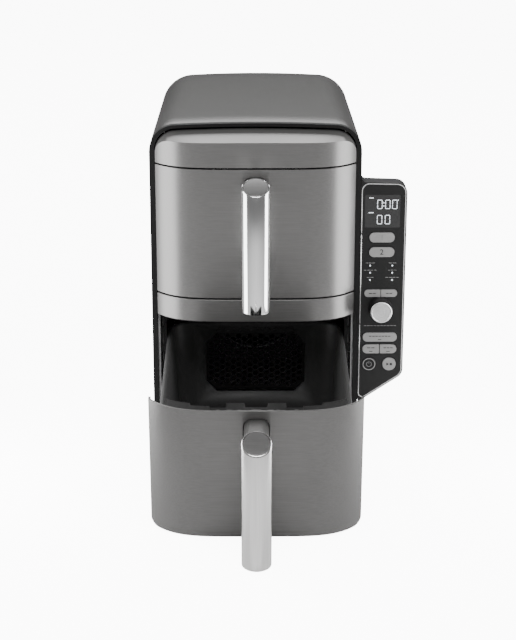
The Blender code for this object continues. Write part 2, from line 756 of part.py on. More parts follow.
def shear_to_slant(mesh, bottom_too):
    """Drops the front of a bar's top, and of its bottom if asked, along the slant."""
    top = max(vertex.co.z for vertex in mesh.vertices)
    for vertex in mesh.vertices:
        if bottom_too or vertex.co.z > top - 0.0001:
            vertex.co.z += vertex.co.y * math.tan(HANDLE_SLANT)


def handle(prefix, here):
    """A vertical bar with a slanted top under a cap, on two stems."""
    along = -BOW - HANDLE_REACH
    top = FRONT_HEIGHT - HANDLE_TOP_DROP
    bottom = FRONT_HEIGHT - HANDLE_FOOT_DROP
    bar_top = top - CAP_THICKNESS - TOUCH
    middle = (0, along, (bar_top + bottom) / 2)
    length = bar_top - bottom
    bar = cylinder(prefix + "_handle_bar", HANDLE_RADIUS, length, middle, "Z", here, "brushed_steel", 40)
    shear_to_slant(bar.data, False)
    middle = (0, along, top - CAP_THICKNESS / 2)
    cap = cylinder(prefix + "_handle_cap", HANDLE_RADIUS, CAP_THICKNESS, middle, "Z", here, "cap_grey", 40)
    shear_to_slant(cap.data, True)
    rises = (("top", FRONT_HEIGHT - STEM_TOP_DROP - STEM_HEIGHT), ("bottom", STEM_FOOT_RISE))
    for place, low in rises:
        name = f"{prefix}_handle_stem_{place}"
        half = STEM_WIDTH / 2
        outline = rectangle(-half, half, low, low + STEM_HEIGHT, 0.005, 3)
        start = along
        stem = prism(name, [outline], start, -BOW - TOUCH - start, "Y", here, "cap_grey", 30)
        bore_middle = (0, along, low + STEM_HEIGHT / 2)
        bore = cylinder(name + "_seat", HANDLE_RADIUS + TOUCH, 0.05, bore_middle, "Z", here, None, 40)
        cut(stem, bore)


def crisper_plate(prefix, tip):
    """A slotted plate whose turned-down skirt stands on the basket's floor."""
    half, front, back = 0.078, BASKET_FRONT_GAP + 0.016 - PIVOT_Y, BASKET_BACK - 0.019
    low = BASKET_FLOOR + BASKET_WALL + TOUCH
    thickness, skirt, wall = 0.002, 0.004, 0.0025
    name = prefix + "_crisper_plate"
    outline = rectangle(-half, half, front, back, 0.010, 4)
    plate = prism(name, [outline], low, skirt + thickness, "Z", tip, "dark_coating")
    inside = rectangle(wall - half, half - wall, front + wall, back - wall, 0.008, 4)
    cut(plate, prism(name + "_underside", [inside], low - 0.01, 0.01 + skirt, "Z", tip, None))
    slots = []
    for row in range(5):
        for column in (-1, 0, 1):
            across, along = column * 0.048, front + 0.025 + row * (back - front - 0.05) / 4
            slots.append(rectangle(across - 0.017, across + 0.017, along - 0.004, along + 0.004, 0.003, 1))
    return cut(plate, prism(name + "_slots", slots, low - 0.01, 0.03, "Z", tip, None))


# ---------------------------------------------------------------- assembly

def object_shift():
    """Moves the middle of the object's footprint to the origin."""
    gland_end = BODY_DEPTH - 0.0035 + TOUCH + 0.012
    middle_x = (PANEL_RIGHT - BODY_WIDTH / 2) / 2
    foot_edge = FRONT_HEIGHT - HANDLE_FOOT_DROP - PIVOT_RISE
    reach = -PIVOT_Y - BOW - HANDLE_REACH - HANDLE_RADIUS
    cap_edge = FRONT_HEIGHT - HANDLE_TOP_DROP - PIVOT_RISE - HANDLE_RADIUS * math.tan(HANDLE_SLANT)
    pivot = PIVOT_Y - LOWER_OUT
    at_cap = pivot + reach * math.cos(LOWER_TIP) - cap_edge * math.sin(LOWER_TIP)
    at_foot = pivot + reach * math.cos(LOWER_TIP) - foot_edge * math.sin(LOWER_TIP)
    return (-middle_x, -(gland_end + min(at_cap, at_foot)) / 2, 0)


def build():
    fryer = empty("air_fryer_frame", object_shift())
    outer_shell(fryer)
    front_bezel(fryer)
    rear_cover(fryer)
    base_plate(fryer)
    feet(fryer)
    hood_fascia(fryer)
    middle_band(fryer)
    side_trims(fryer)
    lower_axis = LOWER_FRONT_BOTTOM + PIVOT_RISE
    upper_axis = lower_axis + DRAWER_PITCH
    cavity("lower", lower_axis, fryer)
    cavity("upper", upper_axis, fryer)
    boards(fryer)
    cord_gland(fryer)
    panel(fryer)
    drawer("upper", empty("upper_drawer_slide", (0, PIVOT_Y, upper_axis), fryer))
    lower_slide = empty("lower_drawer_slide", (0, PIVOT_Y - LOWER_OUT, lower_axis), fryer)
    lower_tip = drawer("lower", lower_slide, LOWER_CORNER)
    lower_tip.rotation_euler = (LOWER_TIP, 0, 0)


build()
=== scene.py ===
"""Looks of the two-drawer air fryer: fine covers, baskets, handles and panel round the fixed CAD frame."""
import json
import math

import bmesh
import bpy
from mathutils import Matrix, Vector


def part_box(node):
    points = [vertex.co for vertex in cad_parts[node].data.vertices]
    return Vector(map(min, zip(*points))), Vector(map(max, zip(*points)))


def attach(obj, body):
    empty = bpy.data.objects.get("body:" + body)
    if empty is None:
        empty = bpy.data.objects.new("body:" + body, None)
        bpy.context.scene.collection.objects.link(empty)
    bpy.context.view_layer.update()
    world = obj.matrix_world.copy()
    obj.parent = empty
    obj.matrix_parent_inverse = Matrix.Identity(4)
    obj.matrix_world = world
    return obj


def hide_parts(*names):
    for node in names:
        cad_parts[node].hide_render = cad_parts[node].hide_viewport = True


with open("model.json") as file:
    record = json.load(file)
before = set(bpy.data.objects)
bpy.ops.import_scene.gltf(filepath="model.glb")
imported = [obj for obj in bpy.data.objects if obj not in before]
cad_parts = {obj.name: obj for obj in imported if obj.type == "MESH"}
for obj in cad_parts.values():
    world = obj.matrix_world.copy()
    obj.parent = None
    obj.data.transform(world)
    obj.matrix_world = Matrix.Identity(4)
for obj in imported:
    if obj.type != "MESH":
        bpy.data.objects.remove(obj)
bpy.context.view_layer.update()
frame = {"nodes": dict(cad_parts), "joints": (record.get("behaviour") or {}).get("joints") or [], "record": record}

# ---- places and sizes from the frame

BEZEL_LOW, BEZEL_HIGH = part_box("front_bezel")
SHELL_LOW, SHELL_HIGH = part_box("outer_shell")
FRONT_LOW, FRONT_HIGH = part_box("upper_drawer_front")
FACE_Y = BEZEL_LOW.y
BODY = Matrix.Translation(((BEZEL_LOW.x + BEZEL_HIGH.x) / 2, FACE_Y, 0))
CENTRE_X = BODY.translation.x
CABINET = ("cabinet", BODY)
WORLD = Matrix.Identity(4)
BODY_HALF = (BEZEL_HIGH.x - BEZEL_LOW.x) / 2
BODY_TOP = BEZEL_HIGH.z
BODY_FOOT = BEZEL_LOW.z
BODY_BACK = SHELL_HIGH.y - FACE_Y
FRONT_HALF = (FRONT_HIGH.x - FRONT_LOW.x) / 2
FRONT_HEIGHT = FRONT_HIGH.z - FRONT_LOW.z
BOW = FACE_Y - FRONT_LOW.y
BOW_POWER = 5
JOINTS = {joint["name"]: joint for joint in frame["joints"]}
TIP = math.radians(JOINTS["lower_drawer_tip"]["range_deg"][1])


def middle_of(node):
    low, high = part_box(node)
    return (low + high) / 2


GLIDES = {prefix: middle_of(prefix + "_rear_glide") for prefix in ("upper", "lower")}
PIVOT_Y = GLIDES["upper"].y - FACE_Y
PIVOT_RISE = GLIDES["upper"].z - FRONT_LOW.z
DRAWER = {
    "upper": Matrix.Translation(GLIDES["upper"]),
    "lower": Matrix.Translation(GLIDES["lower"]) @ Matrix.Rotation(TIP, 4, "X"),
}
FRONT = {prefix: DRAWER[prefix] @ Matrix.Translation((0, -PIVOT_Y, -PIVOT_RISE)) for prefix in DRAWER}
DRAWER_PITCH = GLIDES["upper"].z - GLIDES["lower"].z

# ---- materials


def shader_of(name):
    made = bpy.data.materials.new(name)
    made.use_nodes = True
    tree = made.node_tree
    return made, tree.nodes, tree.links, tree.nodes["Principled BSDF"]


def fill(node, values):
    for name, value in values.items():
        node.inputs[name].default_value = value


def noise(nodes, links, scale, stretch, tilt):
    """Noise in object coordinates tilted about X, longer along the axes whose stretch is small."""
    place = nodes.new("ShaderNodeTexCoord")
    mapping = nodes.new("ShaderNodeMapping")
    mapping.vector_type = "TEXTURE"
    fill(mapping, {"Rotation": (tilt, 0, 0), "Scale": [1 / share for share in stretch]})
    texture = nodes.new("ShaderNodeTexNoise")
    fill(texture, {"Scale": scale, "Detail": 3.0})
    links.new(place.outputs["Object"], mapping.inputs["Vector"])
    links.new(mapping.outputs["Vector"], texture.inputs["Vector"])
    return texture.outputs["Fac"]


def spread(nodes, links, fac, low, high):
    """Turns a 0 to 1 value into one between low and high."""
    span = nodes.new("ShaderNodeMapRange")
    fill(span, {"From Min": 0.3, "From Max": 0.7, "To Min": low, "To Max": high})
    links.new(fac, span.inputs["Value"])
    return span.outputs["Result"]


def tint(nodes, links, fac, dark, light):
    ramp = nodes.new("ShaderNodeValToRGB")
    ramp.color_ramp.elements[0].position = 0.3
    ramp.color_ramp.elements[1].position = 0.7
    ramp.color_ramp.elements[0].color = (*dark, 1)
    ramp.color_ramp.elements[1].color = (*light, 1)
    links.new(fac, ramp.inputs["Fac"])
    return ramp.outputs["Color"]


def bump(nodes, links, height, strength, distance):
    made = nodes.new("ShaderNodeBump")
    fill(made, {"Strength": strength, "Distance": distance})
    links.new(height, made.inputs["Height"])
    return made.outputs["Normal"]


def grey(value, warm=0.0):
    return (value * (1 + warm), value, value * (1 - warm))


def surface(name, dark, light, rough, metallic=0.0, grain=900, stretch=(1, 1, 1), depth=0.00005,
            strength=0.25, specular=0.5, tilt=0.0):
    """A material whose colour, roughness and relief all vary with one fine grain."""
    made, nodes, links, shader = shader_of(name)
    fac = noise(nodes, links, grain, stretch, tilt)
    links.new(tint(nodes, links, fac, dark, light), shader.inputs["Base Color"])
    links.new(spread(nodes, links, fac, rough[0], rough[1]), shader.inputs["Roughness"])
    links.new(bump(nodes, links, fac, strength, depth), shader.inputs["Normal"])
    fill(shader, {"Metallic": metallic, "Specular IOR Level": specular})
    return made


def glow(name, colour, strength):
    made, nodes, links, shader = shader_of(name)
    lit = (*colour, 1)
    fill(shader, {"Base Color": lit, "Emission Color": lit, "Emission Strength": strength})
    return made


LOOK = {
    "shell_grey": surface("shell_paint", grey(0.075, 0.02), grey(0.086, 0.02), (0.30, 0.36), 0.72, 1400),
    "cover_grey": surface("cover_paint", grey(0.148, 0.015), grey(0.168, 0.015), (0.28, 0.34), 0.62, 1100,
                          (0.02, 1, 1), 0.00003, 0.08),
    "black_plastic": surface("black_moulding", grey(0.008), grey(0.013), (0.38, 0.50), 0.0, 1800,
                             strength=0.3, specular=0.15),
    # black moulding painted lighter grey for the small ribs: painted highlight for the glints along their edges
    "rib_painted_highlight": surface("rib_moulding_painted_highlight", grey(0.040), grey(0.055), (0.38, 0.50), 0.0, 1800, specular=0.3),
    "black_satin": surface("panel_black", grey(0.010), grey(0.013), (0.32, 0.40), 0.0, 2200, strength=0.12,
                           specular=0.25),
    "black_gloss": surface("display_gloss", grey(0.027), grey(0.032), (0.10, 0.14), 0.0, 300, strength=0.02,
                           specular=0.3),
    "dark_coating": surface("nonstick", grey(0.030), grey(0.042), (0.42, 0.54), 0.0, 1600,
                            specular=0.45),
    # darker copy of the nonstick coating for the basket's rear panel: painted shade for the back of the deep
    # cavity
    "honeycomb": surface("nonstick_painted_shade", grey(0.014), grey(0.020), (0.42, 0.54), 0.0, 1600,
                         specular=0.30),
    # one handle metal in a lit and a shaded copy: the lower handle's darker colour is painted shade for how light
    # falls on it, not a different finish
    "handle_metal_lit_copy": surface("handle_bar_lit_copy", grey(0.80), grey(0.84), (0.05, 0.08), 1.0, 700,
                              (1, 1, 0.02), 0.00002, 0.08),
    "brushed_metal": surface("handle_bar_shaded_copy", grey(0.70, 0.01), grey(0.80, 0.01), (0.17, 0.23), 1.0, 700,
                             (1, 1, 0.02), 0.00003, 0.20, tilt=TIP),
    "cap_grey": surface("cap_paint", grey(0.150, 0.01), grey(0.175, 0.01), (0.34, 0.40), 0.7, 1100,
                        (0.03, 1, 1)),
    "trim_grey": surface("trim_paint", grey(0.40), grey(0.44), (0.30, 0.36), 0.5, 1200),
    "silver_line": surface("silver_line", grey(0.62), grey(0.68), (0.25, 0.32), 0.5, 1200),
    "button_grey": surface("button_paint", grey(0.27, 0.01), grey(0.30, 0.01), (0.36, 0.44), 0.25, 1500),
    "steel": surface("sheet_steel", grey(0.30), grey(0.38), (0.28, 0.42), 1.0, 500, (1, 1, 0.1)),
    "board_green": surface("circuit_board", (0.015, 0.08, 0.03), (0.03, 0.13, 0.05), (0.4, 0.6), 0.0, 250),
    "rubber": surface("rubber_black", grey(0.015), grey(0.026), (0.70, 0.85), 0.0, 1500, strength=0.5),
    "mark_dark": surface("mark_dark", grey(0.030), grey(0.040), (0.5, 0.6), 0.0, 900, specular=0.2),
    "mark_faint": surface("mark_faint", grey(0.20), grey(0.24), (0.5, 0.6), 0.0, 900, specular=0.2),
    "mark_light": surface("mark_light", grey(0.20), grey(0.24), (0.5, 0.6), 0.0, 900, specular=0.2),
    "lit": glow("display_lit", (0.90, 0.95, 1.0), 0.9),
}

# ---- mesh helpers


def linked(name, data):
    made = bpy.data.objects.new(name, data)
    bpy.context.scene.collection.objects.link(made)
    return made


def make(name, mesh, place, body, look, replaces=(), smooth=30):
    """A mesh as a piece that rides on a body."""
    made = linked(name, mesh)
    made.matrix_world = place
    mesh.materials.clear()
    mesh.materials.append(LOOK[look])
    if smooth:
        mesh.shade_smooth()
        mesh.set_sharp_from_angle(angle=math.radians(smooth))
    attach(made, body)
    if replaces:
        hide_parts(*replaces)
    return made


def as_mesh(shape, name):
    bmesh.ops.recalc_face_normals(shape, faces=shape.faces)
    mesh = bpy.data.meshes.new(name)
    shape.to_mesh(mesh)
    shape.free()
    return mesh


def mesh_of(data):
    """The mesh that a curve or a text makes."""
    made = linked(data.name, data)
    mesh = bpy.data.meshes.new_from_object(made.evaluated_get(bpy.context.evaluated_depsgraph_get()))
    bpy.data.objects.remove(made)
    return mesh


def prism_mesh(name, outlines, start, depth, axis="Y"):
    """Flat outlines pushed along an axis: (x, z) outlines along Y, or (x, y) outlines along Z."""
    curve = bpy.data.curves.new(name, "CURVE")
    curve.dimensions = "2D"
    curve.fill_mode = "BOTH"
    curve.extrude = depth / 2
    for points in outlines:
        spline = curve.splines.new("POLY")
        spline.points.add(len(points) - 1)
        for point, (across, along) in zip(spline.points, points):
            point.co = (across, along, 0, 1)
        spline.use_cyclic_u = True
    shape = bmesh.new()
    shape.from_mesh(mesh_of(curve))
    bmesh.ops.remove_doubles(shape, verts=shape.verts, dist=0.000001)
    middle = start + depth / 2
    if axis == "Y":
        bmesh.ops.rotate(shape, matrix=Matrix.Rotation(math.pi / 2, 3, "X"), verts=shape.verts)
        bmesh.ops.translate(shape, vec=(0, middle, 0), verts=shape.verts)
    else:
        bmesh.ops.translate(shape, vec=(0, 0, middle), verts=shape.verts)
    return as_mesh(shape, name)


def prism(name, outlines, start, depth, look, replaces=(), ride=CABINET, axis="Y", smooth=30):
    """The same prism as a piece, which rides on a (body, place)."""
    body, place = ride
    return make(name, prism_mesh(name, outlines, start, depth, axis), place, body, look, replaces, smooth)


def loft_mesh(name, rows, closed_rows=True, caps=2):
    """Skin over rows of points that all have the same count, with its first or both end rows filled."""
    shape = bmesh.new()
    made = [[shape.verts.new(point) for point in row] for row in rows]
    for below, above in zip(made, made[1:]):
        count = len(below)
        for i in range(count if closed_rows else count - 1):
            j = (i + 1) % count
            shape.faces.new((below[i], below[j], above[j], above[i]))
    if caps > 0:
        shape.faces.new(made[0][::-1])
    if caps > 1:
        shape.faces.new(made[-1])
    return as_mesh(shape, name)


def settled(mesh, place):
    """The mesh with its place in its points, so that its box is no larger than its shape."""
    mesh.transform(place)
    return mesh


def bevelled(piece, width, segments=3, angle=40):
    modifier = piece.modifiers.new("edges", "BEVEL")
    modifier.width = width
    modifier.segments = segments
    modifier.limit_method = "ANGLE"
    modifier.angle_limit = math.radians(angle)


def cut(piece, mesh, place):
    """Takes a mesh out of a piece at once, and leaves no cutter behind."""
    finish = piece.data.materials[0]
    cutter = linked("cutter", mesh)
    cutter.matrix_world = place
    modifier = piece.modifiers.new("cut", "BOOLEAN")
    modifier.object = cutter
    modifier.operation = "DIFFERENCE"
    modifier.solver = "EXACT"
    bpy.context.view_layer.update()
    graph = bpy.context.evaluated_depsgraph_get()
    done = bpy.data.meshes.new_from_object(piece.evaluated_get(graph))
    piece.modifiers.clear()
    done.materials.clear()
    done.materials.append(finish)
    piece.data = done
    bpy.data.objects.remove(cutter)


def rounded_outline(corners, steps=8):
    """Points round a polygon whose corners are (across, up, radius)."""
    points = []
    for i, (across, up, radius) in enumerate(corners):
        corner = Vector((across, up))
        if not radius:
            points.append(tuple(corner))
            continue
        before = (Vector(corners[i - 1][:2]) - corner).normalized()
        after = (Vector(corners[(i + 1) % len(corners)][:2]) - corner).normalized()
        half = math.acos(max(-1, min(1, before.dot(after)))) / 2
        centre = corner + (before + after).normalized() * radius / math.sin(half)
        first = corner + before * radius / math.tan(half) - centre
        last = corner + after * radius / math.tan(half) - centre
        sweep = math.atan2(first.x * last.y - first.y * last.x, first.dot(last))
        start = math.atan2(first.y, first.x)
        for step in range(steps + 1):
            angle = start + sweep * step / steps
            points.append((centre.x + radius * math.cos(angle), centre.y + radius * math.sin(angle)))
    return points


def rectangle(left, right, bottom, top, radius, steps=8):
    corners = [(left, bottom, radius), (right, bottom, radius), (right, top, radius), (left, top, radius)]
    return rounded_outline(corners, steps)


def block(across, up, half_width, half_height, radius, steps=8):
    """A rectangle given by its middle."""
    return rectangle(across - half_width, across + half_width, up - half_height, up + half_height, radius,
                     steps)


def ring(across, up, radius, count=48):
    angles = [2 * math.pi * i / count for i in range(count)]
    return [(across + radius * math.cos(a), up + radius * math.sin(a)) for a in angles]


def hexagon_field(columns, rows, radius, pitch, bottom, inside):
    """Hexagons in staggered columns about X = 0, upwards from bottom."""
    found = []
    for column in range(columns):
        across = (column - (columns - 1) / 2) * pitch * math.sqrt(3) / 2
        for row in range(rows):
            up = bottom + pitch * (row + 0.5 * (column % 2))
            if inside(across, up):
                found.append(ring(across, up, radius, 6))
    return found


def turned_mesh(name, profile, sides=64):
    """(radius, height) rows turned about Z; the first and last rows are capped."""
    rows = []
    for radius, height in profile:
        rows.append([(across, along, height) for across, along in ring(0, 0, radius, sides)])
    return loft_mesh(name, rows)


# ---- cabinet

SHEET = 0.0015
HOOD_EDGE_DROP = 0.0072
TOUCH = 0.0003
BEZEL_WIDTH = 0.0058
BEZEL_TOP = 0.0036
BEZEL_DEPTH = 0.008
CROWN = 0.002
FRONT_RADIUS = 0.029
REAR_RADIUS = 0.040
LOWER_CORNER = 0.008
COVER = 0.0025
FRONT_RETURN = 0.005
SILL = FRONT_LOW.z - DRAWER_PITCH
BAR_DROP = 0.002
LINER_SETBACK = 0.0024


def arch(half, bottom, top, radius, crown=0.0, foot=0.0, steps=16):
    """Front view of a doorway shape from its lower left corner over a crowned top to its lower right one."""
    centre, shoulder = half - radius, top - crown - radius
    left = [(-half, bottom)]
    if foot:
        turns = [math.pi * (1.5 - step / 16) for step in range(9)]
        left = [(foot * (1 + math.cos(turn)) - half, bottom + foot * (1 + math.sin(turn))) for turn in turns]
    for step in range(steps + 1):
        angle = math.pi - math.pi / 2 * step / steps
        left.append((-centre + radius * math.cos(angle), shoulder + radius * math.sin(angle)))
    over = []
    for step in range(1, steps):
        across = -centre + 2 * centre * step / steps
        over.append((across, shoulder + radius + crown * (1 - (across / centre) ** 2)))
    right = [(-across, up) for across, up in reversed(left)]
    return left + over + right


def resample(points, count):
    """The same open line as count points at equal distances along it."""
    lengths = [0.0]
    for first, last in zip(points, points[1:]):
        lengths.append(lengths[-1] + math.dist(first, last))
    found, piece = [], 0
    for i in range(count):
        reach = lengths[-1] * i / (count - 1)
        while piece < len(points) - 2 and lengths[piece + 1] < reach:
            piece += 1
        share = (reach - lengths[piece]) / (lengths[piece + 1] - lengths[piece])
        first, last = points[piece], points[piece + 1]
        found.append(tuple(a + (b - a) * share for a, b in zip(first, last)))
    return found


def body_profile(inset, bottom, corner):
    return arch(BODY_HALF - inset, bottom, BODY_TOP - inset, corner - inset, CROWN)


def outer_shell():
    """One bent sheet whose top corners grow rounder towards the back."""
    front = BEZEL_DEPTH + TOUCH
    rows = []
    for step in range(9):
        share = step / 8
        along = front + (BODY_BACK - front) * share
        corner = FRONT_RADIUS + (REAR_RADIUS - FRONT_RADIUS) * share
        rows.append([(across, along, up) for across, up in body_profile(0, BODY_FOOT, corner)])
    mesh = loft_mesh("fine_outer_shell", rows, closed_rows=False, caps=0)
    shell = make("fine_outer_shell", mesh, BODY, "cabinet", "shell_grey", ["outer_shell"], 40)
    top = max(mesh.polygons, key=lambda face: face.center.z)
    thicken(shell, SHEET, top.normal.z > 0)
    bevelled(shell, 0.0004, 2, 60)


def thicken(piece, thickness, faces_out):
    """Adds a wall on the inner side of an open surface, whose faces may look either way."""
    wall = piece.modifiers.new("wall", "SOLIDIFY")
    wall.thickness = thickness
    wall.offset = -1 if faces_out else 1
    wall.use_even_offset = True


def front_bezel():
    bar_top = SILL - BAR_DROP
    outside = body_profile(0, BODY_FOOT, FRONT_RADIUS)
    radius = FRONT_RADIUS - BEZEL_WIDTH
    inside = arch(BODY_HALF - BEZEL_WIDTH, bar_top, BODY_TOP - BEZEL_TOP, radius, CROWN,
                  LOWER_CORNER + BAR_DROP)
    bezel = prism("fine_front_bezel", [outside, inside], 0, BEZEL_DEPTH, "black_plastic", ["front_bezel"])
    bevelled(bezel, 0.0015, 4, 50)


def bow_at(t, inset=0.0):
    return -(BOW - inset) * (1 - abs(t) ** BOW_POWER)


def bow_curve(inset, steps=96):
    half = FRONT_HALF - inset
    spread_out = [math.sin(math.pi / 2 * (2 * i / steps - 1)) for i in range(steps + 1)]
    return [(half * t, bow_at(t, inset)) for t in spread_out]


def strip_mesh(name, outer, inner, foot, top):
    """A wall between two plan lines of equal length; foot gives its lower edge at each outer X."""
    rows = []
    for (x, y), (inner_x, inner_y) in zip(outer, inner):
        low = foot(x)
        rows.append([(x, y, low), (x, y, top), (inner_x, inner_y, top), (inner_x, inner_y, low)])
    return loft_mesh(name, rows)


def returned(inset, back):
    """Plan line of the bow with a short straight return at each end."""
    curve = bow_curve(inset)
    return [(curve[0][0], back), *curve, (curve[-1][0], back)]


def cover_walls():
    """Outer and inner plan lines of a bowed cover."""
    return returned(0, FRONT_RETURN), returned(COVER, FRONT_RETURN)


def middle_band():
    low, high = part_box("middle_band")
    mesh = strip_mesh("fine_middle_band", *cover_walls(), lambda across: low.z, high.z)
    bevelled(make("fine_middle_band", mesh, BODY, "cabinet", "cover_grey", ["middle_band"]), 0.0008)
    # black moulding behind the band, whose ribs show under it
    ribs = ((0.0032, 0.0012, 0.0016), (0.0075, 0.0015, 0.0012), (0.012, 0.0015, 0.0012))
    for index, (inset, drop, thick) in enumerate(ribs):
        plan = [*bow_curve(inset), *bow_curve(inset + thick)[::-1]]
        prism(f"band_rib_{index}", [plan], low.z - drop, 0.012, "black_gloss", axis="Z")
    prism("band_floor", [returned(0.0030, BEZEL_DEPTH)], low.z + 0.0015, 0.003, "black_plastic", axis="Z")


def hood_fascia():
    """A bowed cover that turns over a crisp edge into a top that climbs to the bezel on three sides."""
    low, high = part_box("hood_fascia")
    count, rise_steps, slope_steps = 160, 6, 8
    crease_top = high.z - CROWN - HOOD_EDGE_DROP
    crease = resample(arch(FRONT_HALF, low.z, crease_top, 0.0165, 0.0008), count)
    inner = BODY_HALF - BEZEL_WIDTH - TOUCH
    rim = resample(arch(inner, low.z, high.z, FRONT_RADIUS - BEZEL_WIDTH - TOUCH, CROWN), count)
    rows = []
    for step in range(rise_steps + 1):
        share = step / rise_steps
        rows.append([(x, bow_at(x / FRONT_HALF), low.z + (z - low.z) * share) for x, z in crease])
    for step in range(1, slope_steps + 1):
        share = step / slope_steps
        swell = 0.0002 * math.sin(math.pi * share)
        row = []
        for (x, z), (far_x, far_z) in zip(crease, rim):
            along = bow_at(x / FRONT_HALF) * (1 - share) + 0.0040 * share
            row.append((x + (far_x - x) * share, along, z + (far_z - z) * share + swell))
        rows.append(row)
    mesh = loft_mesh("fine_hood", rows, closed_rows=False, caps=0)
    shape = bmesh.new()
    shape.from_mesh(mesh)
    bmesh.ops.dissolve_degenerate(shape, edges=shape.edges, dist=0.000002)
    shape.to_mesh(mesh)
    shape.free()
    hood = make("fine_hood", mesh, BODY, "cabinet", "cover_grey", ["hood_fascia"], 28)
    bevelled(hood, 0.0009, 3, 20)
    prism("hood_underside", [returned(0.0012, 0.0012)], low.z + 0.0004, 0.0012, "cover_grey", axis="Z")


def side_trims():
    """An L-shaped strip on each side: a thin lip beside the fronts and a flange behind their ends."""
    for name, side in (("side_trim_left", -1), ("side_trim_right", 1)):
        low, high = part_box(name)
        flange, outer = sorted(abs(x - CENTRE_X) for x in (low.x, high.x))
        lip = outer - 0.0009
        front, back = low.y - FACE_Y, high.y - FACE_Y
        step = back - 0.0011
        plan = [(outer, front), (outer, back), (flange, back), (flange, step), (lip, step), (lip, front)]
        plan = [(side * across, along) for across, along in plan]
        trim = prism("fine_" + name, [plan], low.z, high.z - low.z, "trim_grey", [name], axis="Z")
        bevelled(trim, 0.0002, 2)


def rear_cover():
    """Plate with vent slots and four screws."""
    low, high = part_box("rear_cover")
    start, depth = low.y - FACE_Y, high.y - low.y
    outline = body_profile(SHEET + TOUCH, BODY_FOOT, REAR_RADIUS - 0.0005)
    slots = []
    for level in (0.150, 0.320):
        for column in range(-7, 8):
            middle = column * 0.0095
            slots.append(block(middle, level, 0.0022, 0.016, 0.0021, 4))
    cover = prism("fine_rear_cover", [outline, *slots], start, depth, "black_plastic", ["rear_cover"])
    bevelled(cover, 0.0005, 2)
    screws = ((-0.095, 0.035), (0.095, 0.035), (-0.085, 0.345), (0.085, 0.345))
    for index, (across, up) in enumerate(screws):
        screw(f"rear_screw_{index}", (across, start + depth, up))


def screw(name, where):
    """A domed screw head with a cross slot, facing the back."""
    profile = [(0.0034, 0), (0.0034, 0.0006), (0.0028, 0.0013), (0.0014, 0.0017)]
    place = BODY @ Matrix.Translation(where) @ Matrix.Rotation(-math.pi / 2, 4, "X")
    head = make(name, turned_mesh(name, profile, 32), place, "cabinet", "steel")
    arm, cross = [(-0.0004, -0.002), (0.0004, -0.002), (0.0004, -0.0004)], []
    for _ in range(4):
        cross += arm
        arm = [(-up, across) for across, up in arm]
    cut(head, prism_mesh("cross", [cross], 0.0009, 0.002, "Z"), place)


def cavity(prefix):
    """Mouth frame with oval slots, a liner and a perforated rear grille."""
    low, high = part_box(prefix + "_cavity_liner")
    floor, ceiling = low.z + SHEET, high.z - SHEET
    half, reach = 0.0995, FRONT_HALF - 0.0002
    start = BEZEL_DEPTH + TOUCH
    outside = rectangle(-reach, reach, floor - 0.0008, ceiling + 0.0012, 0.003)
    inside = rectangle(-half, half, floor + 0.0004, ceiling - 0.0015, 0.010)
    slots = []
    count = 7
    for side in (-1, 1):
        for index in range(count):
            up = floor + (ceiling - floor) * (index + 0.5) / count
            middle = side * (half + reach) / 2
            slots.append(block(middle, up, 0.0015, 0.0062, 0.00149))
    mouth = prism(prefix + "_mouth_frame", [outside, inside, *slots], start, 0.0022, "black_plastic")
    bevelled(mouth, 0.0004, 2)

    outer = rectangle(low.x, high.x, low.z, high.z, 0.006)
    inner = rectangle(low.x + SHEET, high.x - SHEET, floor, ceiling, 0.005)
    prism(f"fine_{prefix}_liner", [outer, inner], low.y + LINER_SETBACK, high.y - low.y - LINER_SETBACK,
          "dark_coating", [prefix + "_cavity_liner"], ("cabinet", WORLD))

    grille_low, grille_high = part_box(prefix + "_rear_grille")
    centre = (grille_low + grille_high) / 2
    outline = rectangle(grille_low.x, grille_high.x, grille_low.z, grille_high.z, 0.006)
    pitch = 0.0082
    holes = hexagon_field(19, 17, 0.0038, pitch, -8 * pitch,
                          lambda across, up: math.hypot(across, up) < 0.060)
    moved = [[(across + centre.x, up + centre.z) for across, up in hole] for hole in holes]
    prism(f"fine_{prefix}_grille", [outline, *moved], grille_low.y, grille_high.y - grille_low.y, "steel",
          [prefix + "_rear_grille"], ("cabinet", WORLD))


# ---- drawers

LEDGE_DROP = 0.0008
LEDGE_DEPTH = 0.0075
STEM_WIDTH = 0.025
STEM_RADIUS = 0.0085
STEM_GAP = 0.0008


def stem_levels(where):
    low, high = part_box("upper_handle_stem_" + where)
    return low.z - FRONT_LOW.z, high.z - FRONT_LOW.z


def foot_line(prefix, inset, bottom):
    """Lower edge of a drawer front at each X: level, but with round corners on the lower drawer."""
    centre = FRONT_HALF - LOWER_CORNER
    radius = LOWER_CORNER - inset

    def foot(across):
        beyond = abs(across) - centre
        if prefix == "upper" or beyond <= 0:
            return bottom
        return max(bottom, LOWER_CORNER - math.sqrt(max(0, radius ** 2 - beyond ** 2)))

    return foot


def drawer_front(prefix):
    body, place = prefix + "_drawer", FRONT[prefix]
    name = f"fine_{prefix}_front"
    mesh = strip_mesh(name, *cover_walls(), foot_line(prefix, 0, 0), FRONT_HEIGHT)
    cover = make(name, mesh, place, body, "cover_grey", [prefix + "_drawer_front"])
    for where in ("top", "bottom"):
        low, high = stem_levels(where)
        half = STEM_WIDTH / 2 + STEM_GAP
        hole = rectangle(-half, half, low - STEM_GAP, high + STEM_GAP, STEM_RADIUS + STEM_GAP)
        cut(cover, prism_mesh("stem_hole", [hole], -BOW - 0.01, 0.02), place)
    bevelled(cover, 0.0007, 3, 50)


